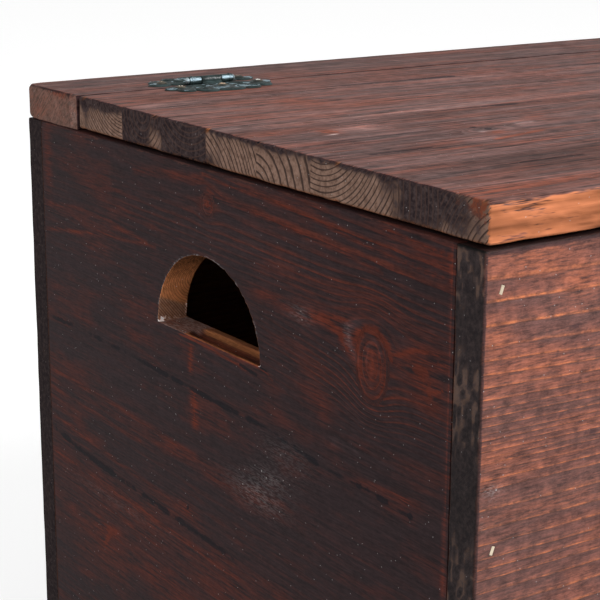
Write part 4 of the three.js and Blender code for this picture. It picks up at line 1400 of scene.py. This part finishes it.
def bent_path(start, curves, steps):
    """Points along a chain of curves: each goes from the last end towards a control point and on to its own
    end, (1-t)(1-t) of the start, 2t(1-t) of the control point and tt of the end."""
    t = np.linspace(0, 1, steps, endpoint=False)[:, None]
    starts = np.vstack([[start], curves[:-1, 2:]])
    parts = [(1 - t) ** 2 * a + 2 * t * (1 - t) * c[:2] + t ** 2 * c[2:] for a, c in zip(starts, curves)]
    return np.concatenate(parts + [curves[-1:, 2:]])


def leaf_loop(steps=16):
    """The whole outline in millimetres from the middle of the barrel."""
    start = np.array([barrel_half, leaf_edge]) / leaf_size
    half = bent_path(start, np.array(leaf_curves), steps) * leaf_size
    mirrored = half[-2::-1] * (-1, 1)
    return np.concatenate([half, mirrored])


def tear_loop(drop, mirror, steps=22):
    """A tear drop: most of a circle, closed by a point a length away from its middle."""
    along, reach, radius, length, turn = drop
    angle = np.linspace(-0.15, 1.15, steps) * np.pi
    circle = np.stack([np.cos(angle), np.sin(angle)], 1) * radius * leaf_reach
    tip = np.array([[0, -length * leaf_reach]])
    shape = np.concatenate([circle, tip])
    spin = np.array([[math.cos(turn), math.sin(turn)], [-math.sin(turn), math.cos(turn)]])
    return (shape @ spin + np.array([along, reach]) * leaf_size) * (mirror, 1)


def ring_loop(centre, radius, steps=40):
    """A circle."""
    angle = np.linspace(0, 2 * np.pi, steps, endpoint=False)
    return np.array(centre) + radius * np.stack([np.cos(angle), np.sin(angle)], 1)


def within(points, loop):
    """Whether points lie inside a loop: a line to the right crosses it an odd number of times."""
    a, b = loop, np.roll(loop, -1, axis=0)
    spans = (a[:, 1] > points[:, None, 1]) != (b[:, 1] > points[:, None, 1])
    with np.errstate(divide="ignore", invalid="ignore"):
        crossing = a[:, 0] + (points[:, None, 1] - a[:, 1]) * (b[:, 0] - a[:, 0]) / (b[:, 1] - a[:, 1])
    return (spans & (points[:, None, 0] < crossing)).sum(axis=1) % 2 == 1


def distance_to(points, lines, closed=True):
    """Shortest distance from points to a chain of straight lines."""
    a = lines if closed else lines[:-1]
    b = np.roll(lines, -1, axis=0) if closed else lines[1:]
    along = b - a
    share = ((points[:, None] - a) * along).sum(-1) / np.maximum((along * along).sum(-1), 1e-9)
    nearest = a + unit(share)[..., None] * along
    return np.linalg.norm(points[:, None] - nearest, axis=-1).min(axis=1)


outer_loop = leaf_loop()
drop_loops = [tear_loop(drop, mirror) for drop in tear_drops for mirror in (1, -1)]
print("outline points", len(outer_loop), "tear drops", len(drop_loops))

# %% [markdown]
# ## Relief of a leaf
# The plan is filled with a fine net of triangles. Each point's height comes from its distance to the
# outline: the rim rolls over at the edge, a raised line follows it, veins run from the barrel into the
# lobes, and round each screw there is a flat seat.

# %% Leaf net
screw_spots = np.array([[-27.0, 11.0], [27.0, 11.0], [0.0, 14.0]])
screw_head, screw_room = 3.1, 0.12
vein_curves = [
    ((0.00, 0.14), [[0.0, 0.2, 0.0, 0.32]]),
    ((0.00, 0.66), [[0.0, 0.8, 0.0, 0.93]]),
    ((0.14, 0.16), [[0.22, 0.42, 0.30, 0.66], [0.33, 0.8, 0.36, 0.90]]),
    ((0.30, 0.16), [[0.50, 0.32, 0.58, 0.50], [0.64, 0.62, 0.72, 0.68]]),
    ((0.40, 0.16), [[0.52, 0.22, 0.60, 0.27]]),
    ((0.86, 0.34), [[0.93, 0.30, 0.95, 0.33]]),
    ((0.20, 0.20), [[0.42, 0.20, 0.52, 0.36]]),
]


def leaf_net(spacing=0.62):
    """The leaf's plan as points and triangles, and each point's height and wear. The wear is rubbed metal
    on the raised lines and painted highlights in patches. The height is that of the plate with its raised
    rim, veins and seats, and it falls off in a roll at the edge."""
    holes = drop_loops + [ring_loop(spot, screw_head + screw_room) for spot in screw_spots]
    loops = [outer_loop] + holes
    low, high = outer_loop.min(axis=0), outer_loop.max(axis=0)
    rows = np.arange(low[1], high[1], spacing * 0.866)
    columns = np.arange(low[0], high[0], spacing)
    net = np.stack(np.meshgrid(columns, rows), axis=-1)
    net[1::2, :, 0] += spacing / 2
    net = net.reshape(-1, 2)
    net = net[within(net, outer_loop)]
    for loop in holes:
        net = net[~within(net, loop)]
    for loop in loops:
        net = net[distance_to(net, loop) > 0.5]
    near = []
    for loop in loops:
        forward = np.roll(loop, -1, axis=0) - np.roll(loop, 1, axis=0)
        side = np.stack([-forward[:, 1], forward[:, 0]], 1) / np.linalg.norm(forward, axis=1)[:, None]
        for offset in (0.14, 0.32, -0.14, -0.32):
            near.append(loop + side * offset)
    near = np.concatenate(near)
    near = near[within(near, outer_loop)]
    for loop in holes:
        near = near[~within(near, loop)]
    for loop in loops:
        near = near[distance_to(near, loop) > 0.1]
    plan = np.concatenate(loops + [near, net])
    edges, first = [], 0
    for loop in loops:
        index = first + np.arange(len(loop))
        edges += list(zip(index.tolist(), np.roll(index, -1).tolist()))
        first += len(loop)
    made = delaunay_2d_cdt([Vector(p) for p in plan], edges, [], 2, 1e-5)
    points = np.array([tuple(p) for p in made[0]])
    triangles = np.array(made[2])
    rim_edges = np.array([edge for edge, source in zip(made[1], made[4]) if source])

    from_edge = np.minimum.reduce([distance_to(points, loop) for loop in [outer_loop] + drop_loops])
    raised = np.exp(-((from_edge - 0.95) / 0.42) ** 2)
    for mirror in (1, -1):
        for start, curves in vein_curves:
            path = bent_path(np.array(start), np.array(curves), 12) * leaf_size * (mirror, 1)
            reach = distance_to(points, path, closed=False)
            raised = np.maximum(raised, np.exp(-(reach / 0.55) ** 2))
    from_screw = np.linalg.norm(points[:, None] - screw_spots, axis=-1).min(axis=1)
    seat = unit((5.0 - from_screw) / 0.9)
    pillow = unit(from_edge / 4.5)
    barrel_side = unit((leaf_edge + 2.2 - points[:, 1]) / 1.5)
    plate = 0.66 + 0.2 * pillow + 0.42 * raised
    plate = plate * (1 - seat) + 1.16 * seat
    plate = np.maximum(plate, 1.05 * barrel_side * (np.abs(points[:, 0]) < barrel_half))
    roll = 0.35 + 0.65 * (1 - np.exp(-from_edge / 0.25))
    height = np.minimum(plate * roll, leaf_thickness)
    # Bright patches on the lobes are painted highlights, laid on as rubbed metal; the raised lines are
    # rubbed.
    highlight_patch = unit((rough(np.column_stack([points, points[:, 0] * 0]), (8, 3.0, 1), 171) - 0.52) * 5)
    worn = unit(raised * 0.25 + highlight_patch * (0.55 + 0.45 * raised) * (from_edge > 0.2))
    hollow = unit(1.0 - raised * 1.6 - seat - barrel_side) * unit(from_edge / 1.2)
    return points, triangles, rim_edges, height, worn, hollow


leaf_plan = leaf_net()
print("leaf net", len(leaf_plan[0]), "points", len(leaf_plan[1]), "triangles")

# %% [markdown]
# ## Knuckles, pins and screws
# All of them are turned shapes: a profile goes once round an axis. A knuckle's profile is its wall with
# rounded ends and a half-round bead, a pin's is a rod with two domes, and a screw's is a dome on a cone and
# a threaded shank. The cross in the screw head is pressed into the grid of the dome.

# %% Turned shapes


def circles(along, radius, steps):
    """Circles of points round the first axis. Points are (along, side, up)."""
    angle = np.linspace(0, 2 * np.pi, steps, endpoint=False)
    grid = np.empty((len(along), steps, 3))
    grid[..., 0] = along[:, None]
    grid[..., 1] = radius[:, None] * np.cos(angle)
    grid[..., 2] = radius[:, None] * np.sin(angle)
    return grid


def end_faces(index):
    """The two faces that close a tube of point numbers."""
    return [index[0].tolist(), index[-1][::-1].tolist()]


def turned(profile, steps, closed):
    """A profile of (place along the axis, radius) turned about the first axis."""
    grid = circles(*profile.T, steps)
    index = np.arange(len(profile) * steps).reshape(len(profile), steps)
    rows = index if closed else index[:-1]
    after = np.roll(index, -1, axis=0) if closed else index[1:]
    faces = np.stack([after, np.roll(after, -1, 1), np.roll(rows, -1, 1), rows], -1).reshape(-1, 4).tolist()
    return grid.reshape(-1, 3), faces if closed else faces + end_faces(index)


def knuckle_profile(start, end, beads):
    """The knuckle's wall and bore. The wall is rounded at both ends and swells at a bead."""
    near_end, near_bead = np.geomspace(0.02, 0.5, 6), bead_radius * np.linspace(-1, 1, 13)
    at_beads = [place + near_bead for place in beads]
    x = [np.linspace(start, end, 20), start + near_end, end - near_end, *at_beads]
    x = np.unique(np.concatenate(x))
    x = x[(x >= start) & (x <= end)]
    from_end = np.minimum(np.minimum(x - start, end - x), 0.5)
    wall = barrel_radius - 0.5 + np.sqrt(np.maximum(0.25 - (0.5 - from_end) ** 2, 0))
    for place in beads:
        wall = wall + 0.6 * np.sqrt(np.maximum(bead_radius ** 2 - (x - place) ** 2, 0))
    wall = np.maximum(wall, pin_bore + 0.3)
    outer = np.column_stack([x, wall])
    bore = np.array([[end, pin_bore], [start, pin_bore]])
    return np.concatenate([outer, bore])


def neck(start, end):
    """The plate between a knuckle and its leaf: a section in (reach, height) drawn along the barrel."""
    section = np.array([
        [5.6, 0.02], [5.6, 1.0], [4.2, 1.18], [3.3, 1.3], [2.85, 1.45], [2.55, 1.75], [2.3, 2.2], [1.9, 2.4],
        [1.55, 1.5], [1.9, 0.02],
    ])
    x = np.array([start, start + 0.15, end - 0.15, end])
    grid = np.empty((len(x), len(section), 3))
    grid[..., 0] = x[:, None]
    grid[..., 1:] = section
    grid[[0, -1], :, 1:] = section * 0.985 + section.mean(axis=0) * 0.015
    index = np.arange(grid[..., 0].size).reshape(grid.shape[:2])
    return grid.reshape(-1, 3), woven(index, 1).tolist() + end_faces(index)


def gathered(parts):
    """Several point and face sets as one."""
    points, faces, first = [], [], 0
    for part_points, part_faces in parts:
        faces += [[first + i for i in face] for face in part_faces]
        points.append(part_points)
        first += len(part_points)
    return np.concatenate(points), faces


def hinge_leaf(name, side, centre_x, board_top, knuckles):
    """A leaf: the net's relief over a flat back, its rim walls, and its knuckles. side is 1 on the rail and
    -1 on the lid. Knuckles are (start, end, beads) along the barrel."""
    plan, triangles, rim_edges, height, worn, hollow = leaf_plan
    top = np.column_stack([plan, height])
    back = np.column_stack([plan, height * 0 + 0.02])
    faces = triangles.tolist() + (triangles[:, ::-1] + len(plan)).tolist()
    owner = {}
    for a, b, c in triangles.tolist():
        owner.update({(a, b): 1, (b, c): 1, (c, a): 1})
    for a, b in rim_edges.tolist():
        first, last = (a, b) if (a, b) in owner else (b, a)
        faces.append([last, first, first + len(plan), last + len(plan)])
    parts = [(np.concatenate([top, back]), faces)]
    axis_height = hinge_z / mm - board_top / mm
    for start, end, beads in knuckles:
        points, barrel = turned(knuckle_profile(start, end, beads), 40, True)
        parts.append((points + (0, 0, axis_height), barrel))
        parts.append(neck(start, end))
    points, faces = gathered(parts)
    net_points = 2 * len(plan)
    wear = np.zeros((len(points), 3))
    wear[:net_points, 0] = np.concatenate([worn * 0.85, worn * 0])
    wear[:net_points, 1] = np.tile(hollow, 2)
    beside, above = points[net_points:, 1], points[net_points:, 2] - axis_height
    # The bright band along each knuckle, 24 degrees above level, is a painted highlight laid on as rubbed
    # metal.
    on_barrel = unit((np.hypot(beside, above) - barrel_radius + 0.5) * 2)
    turn = np.degrees(np.arctan2(above, np.abs(beside)))
    rubbed = 1.0 if side > 0 else 0.5
    wear[net_points:, 0] = on_barrel * rubbed * np.exp(-((turn - 24) / 30) ** 2)
    wear[net_points:, 2] = 0.0 if side > 0 else 0.8
    if side < 0:
        points = points * (1, -1, 1)
        faces = [face[::-1] for face in faces]
    placed = points * mm + (centre_x, hinge_y, board_top)
    return surface(name, placed, faces, iron, {"wear": wear})


pin_half, pin_radius, pin_head, pin_head_length = barrel_half + knuckle_gap, 1.2, 2.0, 1.5
pin_rubbed = 0.7


def hinge_pin(name, centre_x):
    """A rod on the hinge line with a dome at each end: the dome's radius is a quarter ellipse."""
    t = np.linspace(0, np.pi / 2, 9)[:-1]
    dome = np.column_stack([pin_half + pin_head_length * np.sin(t), pin_head * np.cos(t)])
    shoulder = [[pin_half - 0.15, pin_radius], [pin_half, pin_radius + 0.3]]
    upper = np.concatenate([shoulder, dome, [[pin_half + pin_head_length, 0.05]]])
    lower = upper[::-1] * (-1, 1)
    points, faces = turned(np.concatenate([lower, upper]), 32, False)
    placed = points * mm + (centre_x, hinge_y, hinge_z)
    return surface(name, placed, faces, steel, {"wear": np.tile((pin_rubbed, 0, 0), (len(points), 1))})


slot_half_width, slot_half_length, slot_depth = 0.52, 1.75, 0.75


def upright(grid):
    """Circles round the first axis, turned so that they lie round the third."""
    return grid[..., [1, 2, 0]]


def screw_head_grid(cross_turn, rings, steps):
    """The top of a screw head: a dome of height d(1 - rr/RR) with two crossed slots pressed into it."""
    r = screw_head * np.linspace(1, 0.02, rings) ** 0.8
    dome = 0.95 * (1 - (r / screw_head) ** 2)
    grid = upright(circles(dome, r, steps))
    x, y = grid[..., 0], grid[..., 1]
    u = np.abs(x * math.cos(cross_turn) + y * math.sin(cross_turn))
    v = np.abs(y * math.cos(cross_turn) - x * math.sin(cross_turn))
    pressed = np.maximum(*[
        unit((slot_half_width - across) / 0.2) * unit((slot_half_length - along) / 0.35)
        for along, across in ((u, v), (v, u))
    ])
    grid[..., 2] -= slot_depth * pressed
    return grid, pressed


def hinge_screw(node, cross_turn, rubbed, tint):
    """A screw in place of its CAD solid: a dome, a cone and a shank with a thread of rings."""
    low, high = corners(node)
    centre = (low + high) / 2
    rim_z = high[2] / mm - 1.0
    steps, threads = 96, 60
    top, pressed = screw_head_grid(cross_turn, 26, steps)
    shank_depth = (high[2] - low[2]) / mm - 1.0
    along_thread = np.linspace(2.2, shank_depth - 2, threads)
    depth = np.concatenate([[0.1, 0.5, 1.9], along_thread, [shank_depth - 0.02]])
    thread = 1.32 + 0.16 * np.abs((np.arange(threads) % 4) - 2) / 2
    radius = np.concatenate([[screw_head, screw_head - 0.15, 1.5], thread, [0.05]])
    under = upright(circles(-depth, radius, steps))
    points = np.concatenate([top[::-1], under]).reshape(-1, 3)
    index = np.arange(len(points)).reshape(-1, steps)
    faces = woven(index, 1).tolist() + end_faces(index)
    hollow = np.concatenate([pressed[::-1], np.zeros(under.shape[:2])]).ravel()
    from_centre = np.hypot(points[:, 0], points[:, 1]) / screw_head
    # Only the middle of the head is bright: rubbed brass and a painted highlight on the dome. The tint
    # whitens it as a painted glint.
    wear = np.column_stack([rubbed - hollow * 0.6 - 3.4 * from_centre ** 2, hollow, hollow * 0 + tint])
    placed = points * mm + (centre[0], centre[1], rim_z * mm)
    return surface(f"{node}_turned", placed, faces, brass, {"wear": wear})


# %% [markdown]
# ## Two hinges
# Both hinges are the same. The outer knuckles and the pin stay with the rail, and the middle knuckle turns
# with the lid.

# %% Both hinges
outer_start = middle_knuckle + knuckle_gap
bead_place = barrel_half - 2.2
rail_knuckles = [(-barrel_half, -outer_start, [-bead_place]), (outer_start, barrel_half, [bead_place])]
lid_knuckles = [(-middle_knuckle, middle_knuckle, [])]
# Each screw head's brightness, rubbed brass and painted highlight together, and its white painted glint,
# for the first, second and third screw of each leaf.
screw_wear_and_glint = {("rail", 1): (0.85, 0.1), ("rail", 2): (0.9, 0.2), ("rail", 3): (0.95, 0.2),
              ("lid", 1): (1.1, 0.35), ("lid", 2): (1.6, 0.0), ("lid", 3): (1.3, 1.0)}
for hinge_side in ("left", "right"):
    low, high = corners(f"{hinge_side}_hinge_pin")
    centre_x = (low[0] + high[0]) / 2
    rail_leaf = hinge_leaf(f"{hinge_side}_rail_spray", 1, centre_x, rail_high[2], rail_knuckles)
    dressed(rail_leaf, carcass_body, "hinge_iron", f"{hinge_side}_hinge_rail_leaf")
    lid_leaf = hinge_leaf(f"{hinge_side}_lid_spray", -1, centre_x, lid_high[2], lid_knuckles)
    dressed(lid_leaf, lid_body, "hinge_iron", f"{hinge_side}_hinge_lid_leaf")
    pin = hinge_pin(f"{hinge_side}_pin_turned", centre_x)
    dressed(pin, carcass_body, "pin_steel", f"{hinge_side}_hinge_pin")
    for board, body in (("rail", carcass_body), ("lid", lid_body)):
        for number in (1, 2, 3):
            node = f"{hinge_side}_hinge_{board}_screw_{number}"
            turn = 0.5 + 1.3 * number + (0.7 if board == "lid" else 0.0)
            rubbed, tint = screw_wear_and_glint[board, number]
            dressed(hinge_screw(node, turn, rubbed, tint), body, "screw_brass", node)
print("hinges done, leaf", round(2 * half_span, 1), "x", round(leaf_reach, 1), "mm")

# %% [markdown]
# ## Floor, light and air of the studio
# A pale floor, one broad lamp from the front right and an even sky. The floor and the sky are white to the
# camera and in reflections, and the floor still takes the box's shadow.

# %% Stage and lights
floor_half = 12.0
corner_signs = [(-1, -1), (1, -1), (1, 1), (-1, 1)]
floor_mesh = bpy.data.meshes.new("studio_floor")
floor_mesh.from_pydata([(floor_half * x, floor_half * y, 0) for x, y in corner_signs], [], [(0, 1, 2, 3)])
floor = bpy.data.objects.new("studio_floor", floor_mesh)
bpy.context.collection.objects.link(floor)


def seen_directly(tree):
    """1 on rays from the camera, in reflections and through glass, and 0 on rays that only carry light."""
    rays = add_node(tree, "ShaderNodeLightPath", {}).outputs
    mirror = Flow(rays["Is Glossy Ray"]) + Flow(rays["Is Transmission Ray"])
    return clamped(Flow(rays["Is Camera Ray"]) + mirror)


floor_grey, floor_glow = (0.55, 0.55, 0.55), 0.62
floor_material, tree, shader = new_material("studio_floor")
feed(shader.inputs["Base Color"], floor_grey)
feed(shader.inputs["Roughness"], 1.0)
glow = flow_of(tree, "ShaderNodeEmission", {"Strength": seen_directly(tree) * floor_glow})
both = flow_of(tree, "ShaderNodeAddShader", {0: Flow(shader.outputs[0]), 1: glow})
feed(tree.nodes["Material Output"].inputs["Surface"], both)
floor_mesh.materials.append(floor_material)

world = bpy.data.worlds.new("studio_air")
world.use_nodes = True
air = world.node_tree.nodes["Background"]
air_light = 0.5
feed(air.inputs["Color"], (1, 1, 1))
feed(air.inputs["Strength"], seen_directly(world.node_tree) * (1 - air_light) + air_light)
bpy.context.scene.world = world


def lamp(name, place, aim, size, power):
    """A square area lamp at a place, turned towards another."""
    data = bpy.data.lights.new(name, "AREA")
    data.size, data.energy = size, power
    made = bpy.data.objects.new(name, data)
    made.location = place
    made.rotation_euler = (Vector(aim) - Vector(place)).to_track_quat("-Z", "Y").to_euler()
    bpy.context.collection.objects.link(made)
    return made


lamp("key_lamp", (1.2, -3.0, 2.4), (0, 0, 0.3), 1.6, 165)
lamp("fill_lamp", (-3.0, -0.6, 1.8), (0, 0, 0.25), 2.2, 30)
